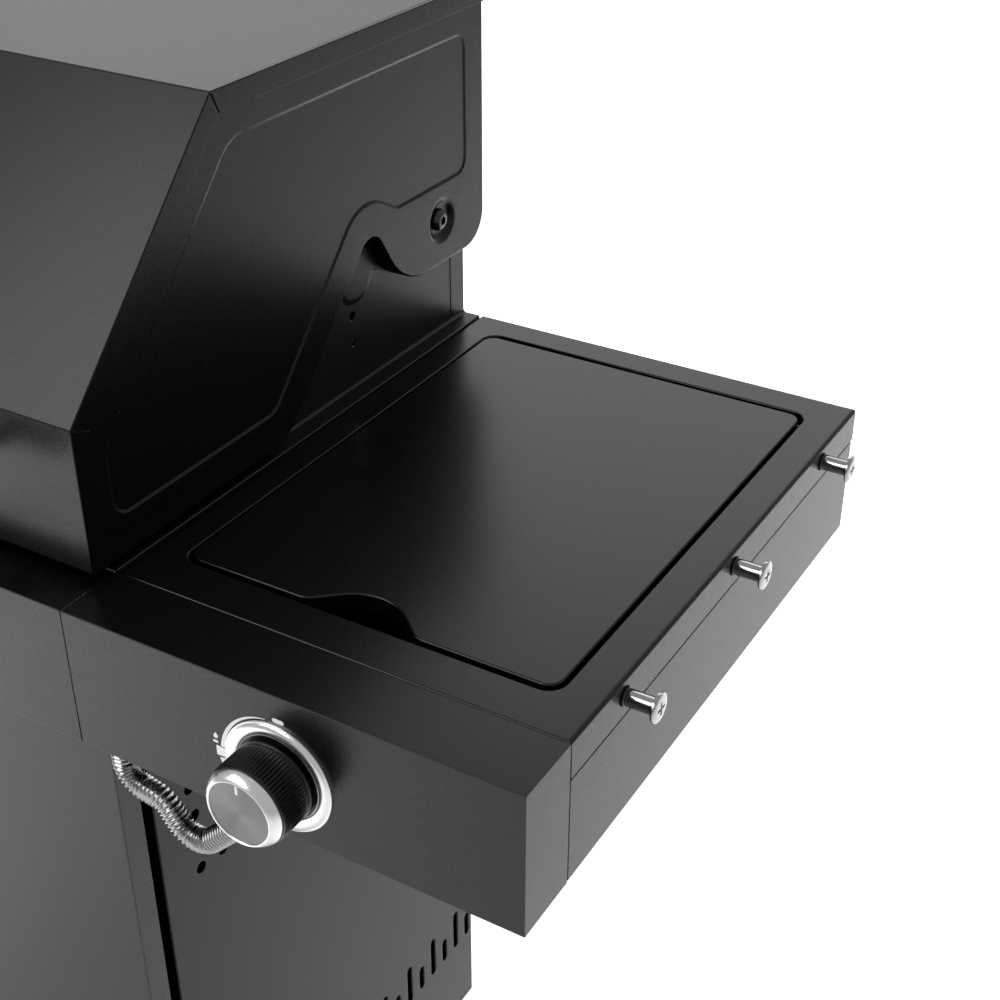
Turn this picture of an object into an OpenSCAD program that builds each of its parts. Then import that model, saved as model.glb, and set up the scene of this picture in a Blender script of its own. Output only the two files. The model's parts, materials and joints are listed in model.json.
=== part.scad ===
// Gas barbecue grill: a cabinet on four casters, a firebox with three burners, a hinged hood,
// a plain prep shelf on the left and a shelf with a flush side burner on the right.
// Origin: on the floor under the middle of the grill. +X is right, +Y is back, +Z is up.

/* [Overall] */
// Width over both side shelves
grill_w = 1304; // [1240:2:1360]
// Height of the side shelves' top faces above the floor
shelf_z = 890; // [860:5:920]
// Front face of the fascia and the control panel
front_y = -226; // [-230:1:-222]
// Width of the cabinet and the firebox
body_w = 640; // [620:2:660]
// Depth of the cabinet and the firebox behind the fascia's face
body_d = 477; // [475:1:478]
// Thickness of the sheet metal
sheet = 1.5; // [1:0.1:1.6]

/* [Hood] */
// Width over the hood's folded end flanges
hood_w = 670; // [668:1:674]
// Height of the hood's flat top above the shelves
hood_h = 263; // [255:1:275]
// Depth at which the hood's upright front stands
hood_front = 30; // [28:1:34]
// Depth at which the hood's rear wall stands
hood_back = 486; // [483:1:490]
// Height above the shelves at which the front starts to slant back
hood_break = 106; // [100:1:112]
// Depth of the fold between the slanted front and the flat top
hood_fold = 177; // [170:1:184]
// Width of the flange folded over each end plate
hood_flange = 15; // [12:1:18]

/* [Side shelves] */
// Height of the fascia and the control panel
fascia_h = 100; // [96:1:104]
// Depth of the fascia's top band
fascia_d = 47.6; // [46:0.2:48]
// Depth of the shelves behind the fascia's face
shelf_d = 480; // [478:1:484]
// Height of the shelf pan's outer flange
flange_h = 25; // [22:1:30]
// Gap between the left and right neighbours at a seam
seam = 0.8; // [0.3:0.1:1]

/* [Side burner] */
// Distance from the shelf's outer side to the middle of the burner and its knob
burner_in = 160.5; // [158:0.5:163]
// Width of the opening in the shelf
bay_w = 266; // [262:1:268]
// Depth of the opening in the shelf
bay_d = 373; // [368:1:374]
// Distance from the fascia's face to the front edge of the opening
bay_front = 79.7; // [79:0.1:82]
// Depth of the finger notch in the lid's front edge
notch_d = 34; // [30:1:36]
// Depth of the drip bowl under the burner
bowl_h = 46; // [42:1:50]

/* [Controls] */
// Height of the knobs' axes below the shelf top
knob_drop = 57.5; // [55:0.5:60]
// Outer radius of a bezel
bezel_r = 37.5; // [35:0.5:39]
// Outer radius of a knob
knob_r = 27; // [24:0.5:27.5]
// Distance that a knob stands out from the fascia
knob_out = 37; // [32:1:38]
// Spacing of the three main knobs and burners
burner_pitch = 190; // [180:2:196]

/* [Cabinet] */
// Height of the cabinet's floor above the ground, which is the casters' height
cab_z = 100; // [96:1:110]
// Thickness of a door
door_t = 20; // [18:1:21]
// Length of a door handle
door_handle_l = 220; // [160:10:300]

/* [Casters] */
// Radius of a caster wheel
wheel_r = 37.5; // [35:0.5:38]
// Width of a caster wheel
wheel_w = 24; // [20:1:25]
// Distance from the swivel axis to the wheel's axle
trail = 22; // [18:1:26]

/* [Hidden] */
$fn = 48;

LEFT = -1;
RIGHT = 1;
FRONT = -1;
REAR = 1;
run_gap = 0.05;                     // radial clearance of a running fit
side_x = body_w / 2;                // outer face of the cabinet's and firebox's sides
shelf_in = side_x + 16;             // inner edge of a side shelf
shelf_out = grill_w / 2;            // outer face of a side shelf
burner_x = shelf_out - burner_in;   // middle of the side burner and its knob
bay_x0 = shelf_out - 26.4 - bay_w;  // opening in the right shelf
bay_x1 = shelf_out - 26.4;
bay_r = 12;
lid_gap = 2.4;                      // gap around the side burner's lid
lid_front = bay_front + 3.5;
lid_back = bay_front + bay_d - 5.6;
lid_rim = 12;                       // height of the lid's turned-down rim
lid_pin_back = lid_back - 7.5;      // hinge axis of the lid
lid_pin_drop = 5.5;
firebox_front = 50;
firebox_back = body_d - 8;
grate_drop = 20;                    // underside of the cooking grates below the shelf top
main_drop = 110;                    // bottom of the firebox's upright walls
hinge_back = 426.3;                 // hood hinge axis
hinge_up = 98.2;
hinge_r = 5;
dish_r = 16;                        // dished recess around the hinge bolt
dish_d = 5;
skin_low = 155;                     // lower edge of the hood's rear wall
door_front = 36;
door_top = main_drop + 6;
door_low = shelf_z - cab_z - 20;
rail_low = door_top - 0.1;          // underside of the rail over the doors
post_back = 63;                     // rear face of the post between the doors
door_pin_x = side_x - 9;
door_pin_back = 50;
door_pin_r = 3;
caster_x = side_x - 40;
caster_front = 105;
caster_rear = body_d - 62;
swivel_r = 5;
axle_r = 4;
stem_r = 4;
stem_flat = 1.5;                    // half-depth that the D flat leaves beyond the axis
stem_back = 30;
knob_back = 4.4;
manifold_back = 30;
manifold_drop = 76;
manifold_r = 9;
hose_r = 8.5;
hose_x = side_x + 17.5;             // nut where the flexible pipe starts
inlet_x = side_x + 45;              // gas inlet stub, left of the cabinet
inlet_r = 6.58;
inlet_l = 18;
tray_w = 320;                       // width of the grease tray
tray_front = 90;
tray_pull = 12;                     // how far the grease tray stands out at the back
tray_low = 186;                     // underside of the grease tray below the shelf top
base_front = 66;                    // front edge of the cabinet's floor
panel_turn = 20;                    // width of the side panels' turned-in edges
panel_front = 64;
wall_top = 140;                     // top of the firebox's sides at the back
wall_front_top = 12;
bracket_back = 325.8;               // the two accessory holes in the firebox's sides
bracket_r = 3.3;
hood_low = 8;                       // lower edge of the hood's front
arm_low = 64.3;                     // lower edge of the hood's rear arms
notch_back = 335.3;                 // top of the notch between front plate and arm
notch_up = 125.1;
stem_hole_r = 9;                    // hole that a valve stem passes through
band_turn = 14;                     // lip behind the fascia's top band
low_lip = 20;                       // lip under the fascia
bowl_flange = 11;                   // width of the bowl's flange outside the bay
handle_x = 235;                     // hood handle posts either side of the middle
handle_up = 62;
hook_first = 111.8;                 // depth of the first peg
hook_pitch = 151.6;
hook_drop = 12;
rail_gap = 1.2;                     // seam under the shelf pan's flange
burner_back = bay_front + bay_d / 2;    // depth of the side burner's middle

// A depth behind the fascia's face and a height over the shelf top, as row coordinates
function fy(d) = front_y + d;
function sz(h) = shelf_z + h;

// Unit vector, left-hand normal and turned-back list
function unit(v) = v / norm(v);
function left_of(v) = [-v.y, v.x];
function turned(p) = [for (i = [len(p) - 1:-1:0]) p[i]];

// Point i of an open path, moved sideways by d with mitred corners
function shifted(p, i, d) =
    let (
        a = i > 0 ? unit(p[i] - p[i - 1]) : unit(p[1] - p[0]),
        b = i < len(p) - 1 ? unit(p[i + 1] - p[i]) : a,
        m = left_of(a) + left_of(b)
    ) p[i] + m * (2 * d / (m * m));

// Closed outline of a bent sheet whose outer face follows an open path
function bent(p, t = sheet) = concat(p, turned([for (i = [0:len(p) - 1]) shifted(p, i, t)]));

// Closed outline moved inwards by d; its points run anticlockwise
function inset(p, d) =
    [for (i = [0:len(p) - 1])
        let (
            n = len(p),
            a = unit(p[i] - p[(i + n - 1) % n]),
            b = unit(p[(i + 1) % n] - p[i]),
            m = left_of(a) + left_of(b)
        ) p[i] + m * (2 * d / (m * m))];

// Arc that rounds the corner b between a and c with radius r
function corner(a, b, c, r) =
    let (
        u = unit(a - b),
        v = unit(c - b),
        half = acos(u * v) / 2,
        p1 = b + u * r / tan(half),
        p2 = b + v * r / tan(half),
        m = b + unit(u + v) * r / sin(half),
        a1 = atan2(p1.y - m.y, p1.x - m.x),
        turn = atan2(p2.y - m.y, p2.x - m.x) - a1,
        d = turn > 180 ? turn - 360 : turn < -180 ? turn + 360 : turn,
        n = max(2, ceil(abs(d) / 12))
    ) [for (k = [0:n]) m + r * [cos(a1 + d * k / n), sin(a1 + d * k / n)]];

// Closed outline from corners given as [x, y, radius]
function rounded(q) =
    [for (i = [0:len(q) - 1])
        let (
            n = len(q),
            a = q[(i + n - 1) % n],
            b = q[i],
            c = q[(i + 1) % n]
        ) each (b[2] > 0 ? corner([a.x, a.y], [b.x, b.y], [c.x, c.y], b[2]) : [[b.x, b.y]])];

function rect(x0, y0, x1, y1, r = 0) = rounded([[x0, y0, r], [x1, y0, r], [x1, y1, r], [x0, y1, r]]);

// Box between two corners
module box(a, b) {
    translate(a) cube(b - a);
}

// Extrusions of an outline along a row axis: (Y, Z) along X, (X, Z) along Y and (X, Y) along Z
module along_x(x0, x1) {
    translate([x0, 0, 0]) rotate([90, 0, 90]) linear_extrude(x1 - x0) children();
}
module along_y(y0, y1) {
    translate([0, y1, 0]) rotate([90, 0, 0]) linear_extrude(y1 - y0) children();
}
module along_z(z0, z1) {
    translate([0, 0, z0]) linear_extrude(z1 - z0) children();
}

// Rods along the row axes, from one end's centre
module rod_x(x, y, z, length, r) {
    translate([x, y, z]) rotate([0, 90, 0]) cylinder(h = length, r = r);
}
module rod_y(x, y, z, length, r) {
    translate([x, y, z]) rotate([-90, 0, 0]) cylinder(h = length, r = r);
}
module rod_z(x, y, z, length, r) {
    translate([x, y, z]) cylinder(h = length, r = r);
}

// Mirrors the left-hand version of what is drawn for the right
module on_side(side) {
    scale_x = side == LEFT ? 1 : 0;
    mirror([scale_x, 0, 0]) children();
}

// ---------------------------------------------------------------- cabinet

module base_shelf() {
    color("#1c1c1d") difference() {
        box([-side_x + sheet, fy(base_front), cab_z], [side_x - sheet, fy(body_d - 3), cab_z + 24]);
        box([-side_x + 2 * sheet, fy(base_front) + sheet, cab_z + sheet],
            [side_x - 2 * sheet, fy(body_d - 3) - sheet, cab_z + 25]);
    }
}

// Outer side wall of the cabinet, with accessory holes at the front and vents low at the back
module side_panel(side) {
    holes = [[102.7, -249], [102.8, -300], [128, -302], [100.7, -222]];
    vent_w = 7;
    color("#1c1c1d") on_side(side) difference() {
        along_z(cab_z, sz(-main_drop)) polygon(bent([
            [side_x - panel_turn, fy(body_d)], [side_x, fy(body_d)], [side_x, fy(panel_front)],
            [side_x - panel_turn, fy(panel_front)]], -sheet));
        for (h = holes) rod_x(side_x - 5, fy(h[0]), sz(h[1]), 10, 5);
        box([side_x - 25, fy(60), sz(-main_drop - 6)], [side_x - sheet, fy(70), sz(-main_drop + 1)]);
        for (i = [0:8]) {
            along_x(side_x - 5, side_x + 5)
                polygon(rect(fy(296 + 21 * i), sz(-700), fy(296 + 21 * i) + vent_w,
                    sz(-671 + 19 * (i % 2)), 3.4));
        }
    }
}

module back_panel() {
    color("#1c1c1d") difference() {
        box([-side_x + 2 * sheet, fy(body_d - 3), cab_z],
            [side_x - 2 * sheet, fy(body_d - 1.5), sz(-205)]);
        for (x = [-4:4]) {
            along_y(fy(body_d - 10), fy(body_d + 5))
                polygon(rect(x * 50 - 4, sz(-420), x * 50 + 4, sz(-300), 3.9));
        }
    }
}

// Rails over and under the doors, and the post behind the gap between them
module front_frame() {
    color("#1c1c1d") {
        box([-side_x + 2, fy(40), sz(-rail_low)], [side_x - 2, fy(firebox_front), sz(-fascia_h - 2)]);
        box([-side_x + 2, fy(firebox_front), sz(-rail_low)],
            [side_x - 2, fy(post_back), sz(-rail_low + 2)]);
        box([-side_x + 2, fy(40), cab_z], [side_x - 2, fy(post_back), sz(-door_low) - 4]);
        box([-14, fy(post_back - 5), sz(-door_low) - 4], [14, fy(post_back), sz(-rail_low)]);
    }
}

// ---------------------------------------------------------------- doors

module door(side) {
    x0 = 1.5;
    x1 = side_x - 1.5;
    color("#1a1a1b") on_side(side) difference() {
        box([x0, fy(door_front), sz(-door_low)], [x1, fy(door_front + door_t - 0.4), sz(-door_top)]);
        box([x0 + sheet, fy(door_front) + sheet, sz(-door_low) + sheet],
            [x1 - sheet, fy(door_front + door_t + 1), sz(-door_top) - sheet]);
        rod_z(door_pin_x, fy(door_pin_back), sz(-door_low) - 5, door_low - door_top + 10,
            door_pin_r + run_gap);
    }
}

module door_handle(side) {
    x = 30;
    low = -290 - door_handle_l / 2;
    color("#c9cacc") on_side(side) {
        rod_z(x, fy(10), sz(low), door_handle_l, 6);
        for (h = [low + 25, low + door_handle_l - 25]) {
            rod_y(x, fy(16), sz(h), door_front - 16, 5);
        }
    }
}

// Door pins, side burner lid pins and the two hood hinge bolts
module hinge_bolts() {
    color("#1b1b1c") {
        for (side = [LEFT, RIGHT]) {
            x = side * door_pin_x;
            rod_z(x, fy(door_pin_back), sz(-door_top) - 8, 8 + door_top - rail_low, door_pin_r);
            rod_z(x, fy(door_pin_back), sz(-door_low) - 4, 12, door_pin_r);
        }
        rod_x(bay_x0 - 2, fy(lid_pin_back), sz(-lid_pin_drop), 12, 2.5);
        rod_x(bay_x1 - 10, fy(lid_pin_back), sz(-lid_pin_drop), 12, 2.5);
        for (side = [LEFT, RIGHT]) on_side(side) translate([0, fy(hinge_back), sz(hinge_up)]) {
            rod_x(side_x - 10, 0, 0, 24, hinge_r);
            translate([hood_w / 2 - dish_d + 0.1, 0, 0]) rotate([0, 90, 0]) rotate_extrude()
                polygon([[0, 0], [9.6, 0], [9.6, 1.5], [8, 3.6], [4, 4.6], [0, 4.6]]);
        }
    }
}

// ---------------------------------------------------------------- casters

module at_caster(side, end) {
    translate([side * caster_x, fy(end == FRONT ? caster_front : caster_rear), 0]) children();
}

module caster_plates() {
    color("#8b8d90") for (side = [LEFT, RIGHT]) for (end = [FRONT, REAR]) at_caster(side, end) {
        box([-32, -30, cab_z - 3], [32, 30, cab_z]);
        rod_z(0, 0, cab_z - 16, 13, swivel_r);
    }
}

module caster_fork(side, end) {
    leg_x = wheel_w / 2 + 1;
    color("#8b8d90") at_caster(side, end) {
        difference() {
            union() {
                rod_z(0, 0, cab_z - 13, 9, 24);
                box([-leg_x - 2.5, -18, cab_z - 13], [leg_x + 2.5, trail + 34, cab_z - 10.5]);
                for (s = [LEFT, RIGHT]) on_side(s) along_x(leg_x, leg_x + 2.5) polygon(rounded([
                    [-18, cab_z - 10.5, 0], [trail - 12, wheel_r - 10, 8],
                    [trail + 12, wheel_r - 10, 8], [trail + 34, cab_z - 24, 4],
                    [trail + 34, cab_z - 10.5, 0]]));
            }
            rod_z(0, 0, cab_z - 20, 20, swivel_r + run_gap);
            rod_x(-40, trail, wheel_r, 80, axle_r);
            rod_x(-40, trail + 26, cab_z - 18, 80, 2.5 + run_gap);
        }
        rod_x(-leg_x - 5, trail, wheel_r, 2 * leg_x + 10, axle_r);
    }
}

module caster_wheel(side, end) {
    color("#202022") at_caster(side, end) difference() {
        translate([-wheel_w / 2, trail, wheel_r]) rotate([0, 90, 0]) rotate_extrude($fn = 72)
            polygon(rounded([[0, 0, 0], [wheel_r, 0, 5], [wheel_r, wheel_w, 5], [0, wheel_w, 0]]));
        rod_x(-40, trail, wheel_r, 80, axle_r + run_gap);
    }
}

module brake_pedal(side) {
    w = wheel_w / 2 + 0.4;
    color("#b3261e") at_caster(side, FRONT) difference() {
        union() {
            rod_x(-w, trail + 26, cab_z - 18, 2 * w, 4.6);
            along_x(-w, w) polygon([[trail + 26, cab_z - 15], [trail + 24, cab_z - 21],
                [trail + 52, cab_z - 30], [trail + 54, cab_z - 26]]);
        }
        rod_x(-40, trail + 26, cab_z - 18, 80, 2.45);
    }
    color("#8b8d90") at_caster(side, FRONT)
        rod_x(-w - 3.4, trail + 26, cab_z - 18, 2 * w + 6.8, 2.5);
}

// ---------------------------------------------------------------- firebox

// Front and back walls, sloping floor halves, grate ledges and grease tray runners
module firebox_body() {
    w = side_x - sheet - 0.2;
    slot_front = 235;
    slot_back = 285;
    floor_drop = 158;
    color("#232324") {
        difference() {
            box([-w, fy(firebox_front), sz(-main_drop)], [w, fy(firebox_front) + sheet, sz(18)]);
            for (i = [-1:1]) rod_y(i * burner_pitch, fy(40), sz(-knob_drop), 20, 13);
        }
        box([-w, fy(firebox_back) - sheet, sz(-main_drop)], [w, fy(firebox_back), sz(90)]);
        along_x(-w, w) polygon([[fy(firebox_front), sz(-main_drop)],
            [fy(slot_front), sz(-floor_drop)], [fy(slot_front), sz(-floor_drop) + 1.7],
            [fy(firebox_front) + 6, sz(-main_drop)]]);
        along_x(-w, w) polygon([[fy(firebox_back), sz(-main_drop)],
            [fy(firebox_back) - 6, sz(-main_drop)], [fy(slot_back), sz(-floor_drop) + 1.7],
            [fy(slot_back), sz(-floor_drop)]]);
        box([-w, fy(firebox_front) + sheet, sz(-grate_drop - 2)],
            [w, fy(firebox_front + 10), sz(-grate_drop)]);
        box([-w, fy(firebox_back - 10), sz(-grate_drop - 2)],
            [w, fy(firebox_back) - sheet, sz(-grate_drop)]);
        for (side = [LEFT, RIGHT]) on_side(side) {
            box([150, fy(80), sz(-tray_low - 2)],
                [tray_w / 2 + 4, fy(firebox_back), sz(-tray_low - 0.3)]);
            for (y = [96, firebox_back - 24]) {
                box([tray_w / 2 + 2, fy(y), sz(-tray_low - 2)],
                    [tray_w / 2 + 4, fy(y + 18), sz(-tray_low + 65)]);
            }
        }
    }
}

// Side wall that carries the hinge bolt, the ledge beside the shelf and two accessory holes
module firebox_side(side) {
    color("#232324") on_side(side) {
        difference() {
            along_x(side_x - sheet, side_x) polygon(rounded([
                [fy(firebox_front), sz(-main_drop), 0], [fy(body_d), sz(-main_drop), 0],
                [fy(body_d), sz(wall_top), 10], [fy(300), sz(wall_top), 20],
                [fy(70), sz(wall_front_top), 20],
                [fy(firebox_front), sz(wall_front_top), 0]]));
            for (h = [35.2, 55.9]) rod_x(side_x - 10, fy(bracket_back), sz(h), 20, bracket_r);
            rod_x(side_x - 20, fy(hinge_back), sz(hinge_up), 40, hinge_r);
        }
        along_y(fy(firebox_front), fy(body_d)) polygon(bent([
            [side_x, sz(0)], [shelf_in - seam, sz(0)], [shelf_in - seam, sz(-flange_h)]], -sheet));
    }
}

module main_burners() {
    color("#9a9b9c") for (i = [-1:1]) difference() {
        rod_y(i * burner_pitch, fy(43), sz(-knob_drop), 405, 12);
        rod_y(i * burner_pitch, fy(42), sz(-knob_drop), 60, 10.5);
    }
}

module flame_tamers() {
    color("#77787a") for (i = [-1:1]) translate([i * burner_pitch, 0, 0])
        along_y(fy(62), fy(455)) polygon(bent([[45, sz(-48)], [0, sz(-27)], [-45, sz(-48)]]));
}

module cooking_grate(side) {
    bars = 13;
    w = side_x - sheet - 3;
    color("#2a2a2b") on_side(side) union() {
        for (i = [0:bars - 1]) {
            x = 2 + (w - 8) * i / (bars - 1);
            box([x, fy(54), sz(-grate_drop)], [x + 6, fy(firebox_back - 4), sz(-grate_drop + 10)]);
        }
        for (y = [56, 150, 250, 350, firebox_back - 16]) {
            box([2, fy(y), sz(-grate_drop)], [w, fy(y + 8), sz(-grate_drop + 8)]);
        }
    }
}

// Rack over the back of the cooking area, held between the side walls
module warming_rack() {
    w = side_x - sheet;
    color("#b9bbbd") union() {
        for (y = [300:16:412]) rod_x(-w, fy(y), sz(84), 2 * w, 2.2);
        for (x = [-w + 4, 0, w - 4]) box([x - 3, fy(296), sz(82)], [x + 3, fy(416), sz(86)]);
    }
}

// Grease tray under the firebox's slot; it pulls out at the back
module grease_tray() {
    wall = 2;
    back = body_d + tray_pull;
    color("#55575a") difference() {
        box([-tray_w / 2, fy(tray_front), sz(-tray_low)],
            [tray_w / 2, fy(back), sz(-tray_low + 22)]);
        box([-tray_w / 2 + wall, fy(tray_front) + wall, sz(-tray_low) + wall],
            [tray_w / 2 - wall, fy(back) - wall, sz(-tray_low + 26)]);
    }
}

// ---------------------------------------------------------------- side shelves and fascias

// Shelf pan; the right one is open over the side burner
module side_shelf(side, bay = false) {
    color("#1b1b1c") on_side(side) difference() {
        box([shelf_in, fy(fascia_d + seam), sz(-flange_h)], [shelf_out, fy(shelf_d), sz(0)]);
        box([shelf_in + sheet, fy(fascia_d + seam) + sheet, sz(-flange_h - 1)],
            [shelf_out - sheet, fy(shelf_d) - sheet, sz(-sheet)]);
        if (bay) along_z(sz(-10), sz(10))
            polygon(rect(bay_x0, fy(bay_front), bay_x1, fy(bay_front + bay_d), bay_r));
        for (d = [hook_first:hook_pitch:hook_first + 2 * hook_pitch]) {
            rod_x(shelf_out - 5, fy(d), sz(-hook_drop), 10, 3);
        }
    }
}

// Lower side and rear panels under both shelf pans
module shelf_side_rails() {
    low = -fascia_h + 0.7;
    color("#1b1b1c") for (side = [LEFT, RIGHT]) on_side(side) {
        box([shelf_out - sheet, fy(fascia_d + seam), sz(low)],
            [shelf_out, fy(shelf_d) - sheet - seam, sz(-flange_h - rail_gap)]);
        box([shelf_in + 2, fy(shelf_d) - sheet, sz(low)],
            [shelf_out - sheet - seam, fy(shelf_d), sz(-flange_h - rail_gap)]);
    }
}

// Folded front face, top band and bottom lip, from x0 to x1
module folded_front(x0, x1) {
    along_x(x0, x1) polygon(bent([[fy(low_lip), sz(-fascia_h)], [fy(0), sz(-fascia_h)],
        [fy(0), sz(0)], [fy(fascia_d), sz(0)], [fy(fascia_d), sz(-band_turn)]], -sheet));
}

module side_fascia(side) {
    x0 = hood_w / 2 + seam;
    color("#1b1b1c") on_side(side) difference() {
        union() {
            folded_front(x0, shelf_out);
            box([shelf_out - sheet, fy(0), sz(-fascia_h)], [shelf_out, fy(fascia_d), sz(0)]);
        }
        if (side == RIGHT) rod_y(burner_x, fy(-5), sz(-knob_drop), 10, stem_hole_r);
    }
}

module control_panel() {
    color("#1b1b1c") difference() {
        folded_front(-hood_w / 2, hood_w / 2);
        for (i = [-1:1]) rod_y(i * burner_pitch, fy(-5), sz(-knob_drop), 10, stem_hole_r);
    }
}

// Pegs for utensils on the outer flange of both shelves
module tool_hooks() {
    color("#d5d6d8") for (side = [LEFT, RIGHT]) on_side(side) {
        for (i = [0:2]) translate([shelf_out, fy(hook_first + i * hook_pitch), sz(-hook_drop)])
            rotate([0, 90, 0]) rotate_extrude() polygon([[0, -4], [2.9, -4], [2.9, 0], [7, 0],
                [7, 1.5], [5.5, 3], [5.5, 17.5], [9.5, 18.5], [9.5, 21.5], [8.5, 22], [0, 22]]);
    }
}

// ---------------------------------------------------------------- side burner

module side_burner_bowl() {
    color("#2b2b2c") difference() {
        union() {
            box([bay_x0 - bowl_flange, fy(bay_front - bowl_flange), sz(-3)],
                [bay_x1 + bowl_flange, fy(bay_front + bay_d + bowl_flange), sz(-sheet)]);
            along_z(sz(-bowl_h - 1.5), sz(-2)) polygon(rect(bay_x0 - 2, fy(bay_front - 2),
                bay_x1 + 2, fy(bay_front + bay_d + 2), bay_r + 2));
        }
        along_z(sz(-bowl_h), sz(5)) polygon(rect(bay_x0, fy(bay_front), bay_x1,
            fy(bay_front + bay_d), bay_r));
        rod_z(burner_x, fy(burner_back), sz(-bowl_h - 10), 30, 15);
        rod_x(bay_x0 - 10, fy(lid_pin_back), sz(-lid_pin_drop), bay_w + 20, 2.5);
    }
}

// Burner head, its throat and the mixing tube that reaches forward to the valve
module side_burner_head() {
    color("#8f8a80") union() {
        translate([burner_x, fy(burner_back), 0]) {
            rod_z(0, 0, sz(-68), 28, 12);
            translate([0, 0, sz(-40)]) rotate_extrude() polygon(rounded([[0, 0, 0], [34, 0, 3],
                [42, 8, 3], [42, 14, 2], [32, 17, 3], [0, 17, 0]]));
        }
        difference() {
            rod_y(burner_x, fy(53), sz(-knob_drop), burner_back - 53, 10);
            rod_y(burner_x, fy(52), sz(-knob_drop), 30, 8.5);
        }
    }
}

// Pan support over the side burner
module side_burner_grate() {
    half = 105;
    top = -6;
    color("#2a2a2b") translate([burner_x, fy(burner_back), 0]) union() {
        for (s = [-1, 1]) {
            box([-half, s * 28 - 3, sz(top - 7)], [half, s * 28 + 3, sz(top)]);
            box([s * 28 - 3, -half, sz(top - 7)], [s * 28 + 3, half, sz(top)]);
            box([-half, s * (half - 3) - 3, sz(top - 7)], [half, s * (half - 3) + 3, sz(top)]);
            box([s * (half - 3) - 3, -half, sz(top - 7)], [s * (half - 3) + 3, half, sz(top)]);
        }
        for (x = [-1, 1]) for (y = [-1, 1])
            rod_z(x * (half - 3), y * (half - 3), sz(-bowl_h), bowl_h + top - 2, 3);
    }
}

// Outline of the lid with its finger notch
function lid_outline() = rounded([
    [bay_x0 + lid_gap, fy(lid_front), 10], [burner_x - 39, fy(lid_front), 14],
    [burner_x, fy(lid_front + notch_d), 34], [burner_x + 39, fy(lid_front), 14],
    [bay_x1 - lid_gap, fy(lid_front), 10], [bay_x1 - lid_gap, fy(lid_back), 10],
    [bay_x0 + lid_gap, fy(lid_back), 10]]);

module side_burner_lid() {
    color("#1b1b1c") difference() {
        along_z(sz(-lid_rim), sz(1)) polygon(lid_outline());
        along_z(sz(-lid_rim - 1), sz(1 - sheet)) polygon(inset(lid_outline(), sheet));
        rod_x(bay_x0 - 5, fy(lid_pin_back), sz(-lid_pin_drop), bay_w + 10, 2.5 + run_gap);
    }
}

// ---------------------------------------------------------------- gas train and knobs

module valve_body(x) {
    difference() {
        union() {
            box([x - 12, fy(8), sz(-knob_drop - 9.5)], [x + 12, fy(40), sz(-knob_drop + 10)]);
            rod_y(x, fy(39), sz(-knob_drop), 9, 4);
        }
        rod_y(x, fy(7), sz(-knob_drop), stem_back - 7, stem_r + run_gap);
    }
}

module main_valves() {
    color("#b08d4c") for (i = [-1:1]) valve_body(i * burner_pitch);
}

module side_burner_valve() {
    color("#b08d4c") union() {
        valve_body(burner_x);
        translate([burner_x, fy(manifold_back), sz(-knob_drop - 17)]) cylinder(h = 9, r = 9, $fn = 6);
    }
}

// Pipe behind the control panel, with a hose nut at its right end and the gas inlet at its left end
module gas_manifold() {
    color("#9b9ca0") {
        union() {
            rod_x(-inlet_x, fy(manifold_back), sz(-manifold_drop), inlet_x + hose_x - 9, manifold_r);
            translate([-inlet_x, fy(manifold_back), sz(-manifold_drop - 14)])
                cylinder(h = 14 + manifold_r, r = manifold_r + 3, $fn = 6);
            rod_z(-inlet_x, fy(manifold_back), sz(-manifold_drop - 14 - inlet_l), inlet_l, inlet_r);
        }
        translate([hose_x, fy(manifold_back), sz(-manifold_drop - 12)])
            cylinder(h = 22, r = 11, $fn = 6);
    }
}

// Route of the flexible pipe from the manifold's nut to the side burner's valve: [x, height, radius]
hose_turns = [[hose_x, -manifold_drop - 12, 0], [hose_x, -150, 18],
    [side_x + 48, -155, 20], [side_x + 71, -187, 18], [burner_x - 34, -120, 20],
    [burner_x, -100, 20], [burner_x, -knob_drop - 17, 0]];

// Flexible pipe, swept in one upright plane as a plain round tube
module gas_hose() {
    line = rounded(hose_turns);
    n = len(line);
    sides = 12;
    function along(i) = unit(line[min(i + 1, n - 1)] - line[max(i - 1, 0)]);
    rings = [for (i = [0:n - 1], k = [0:sides - 1])
        let (a = 360 * k / sides, u = left_of(along(i)) * hose_r * cos(a))
            [line[i].x + u.x, hose_r * sin(a), line[i].y + u.y]];
    walls = [for (i = [0:n - 2], k = [0:sides - 1])
        let (a = i * sides, b = a + sides, j = (k + 1) % sides) [a + k, a + j, b + j, b + k]];
    caps = [[for (k = [sides - 1:-1:0]) k], [for (k = [0:sides - 1]) (n - 1) * sides + k]];
    color("#c7c8ca") translate([0, fy(manifold_back), shelf_z])
        polyhedron(points = rings, faces = concat(caps, walls), convexity = 6);
}

// Dished rings around the knobs
module knob_bezels() {
    color("#dcdddf") for (x = [-burner_pitch, 0, burner_pitch, burner_x])
        translate([x, fy(0), sz(-knob_drop)]) rotate([90, 0, 0]) rotate_extrude($fn = 96)
            polygon([[knob_r + 0.8, 0], [bezel_r, 0], [bezel_r, 1.5], [bezel_r - 2, 3.6],
                [bezel_r - 6, 2.6], [knob_r + 0.8, 1.6]]);
}

// Outline of a D-shaped shaft whose flat faces up
module d_section(r) {
    intersection() {
        circle(r = r);
        translate([-r, -r]) square([2 * r, r + stem_flat + r - stem_r]);
    }
}

module valve_stem(x) {
    color("#b9bbbd") translate([x, 0, sz(-knob_drop)]) union() {
        rod_y(0, fy(-2), 0, stem_back + 2, stem_r);
        along_y(fy(-24), fy(-2)) d_section(stem_r);
    }
}

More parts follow.
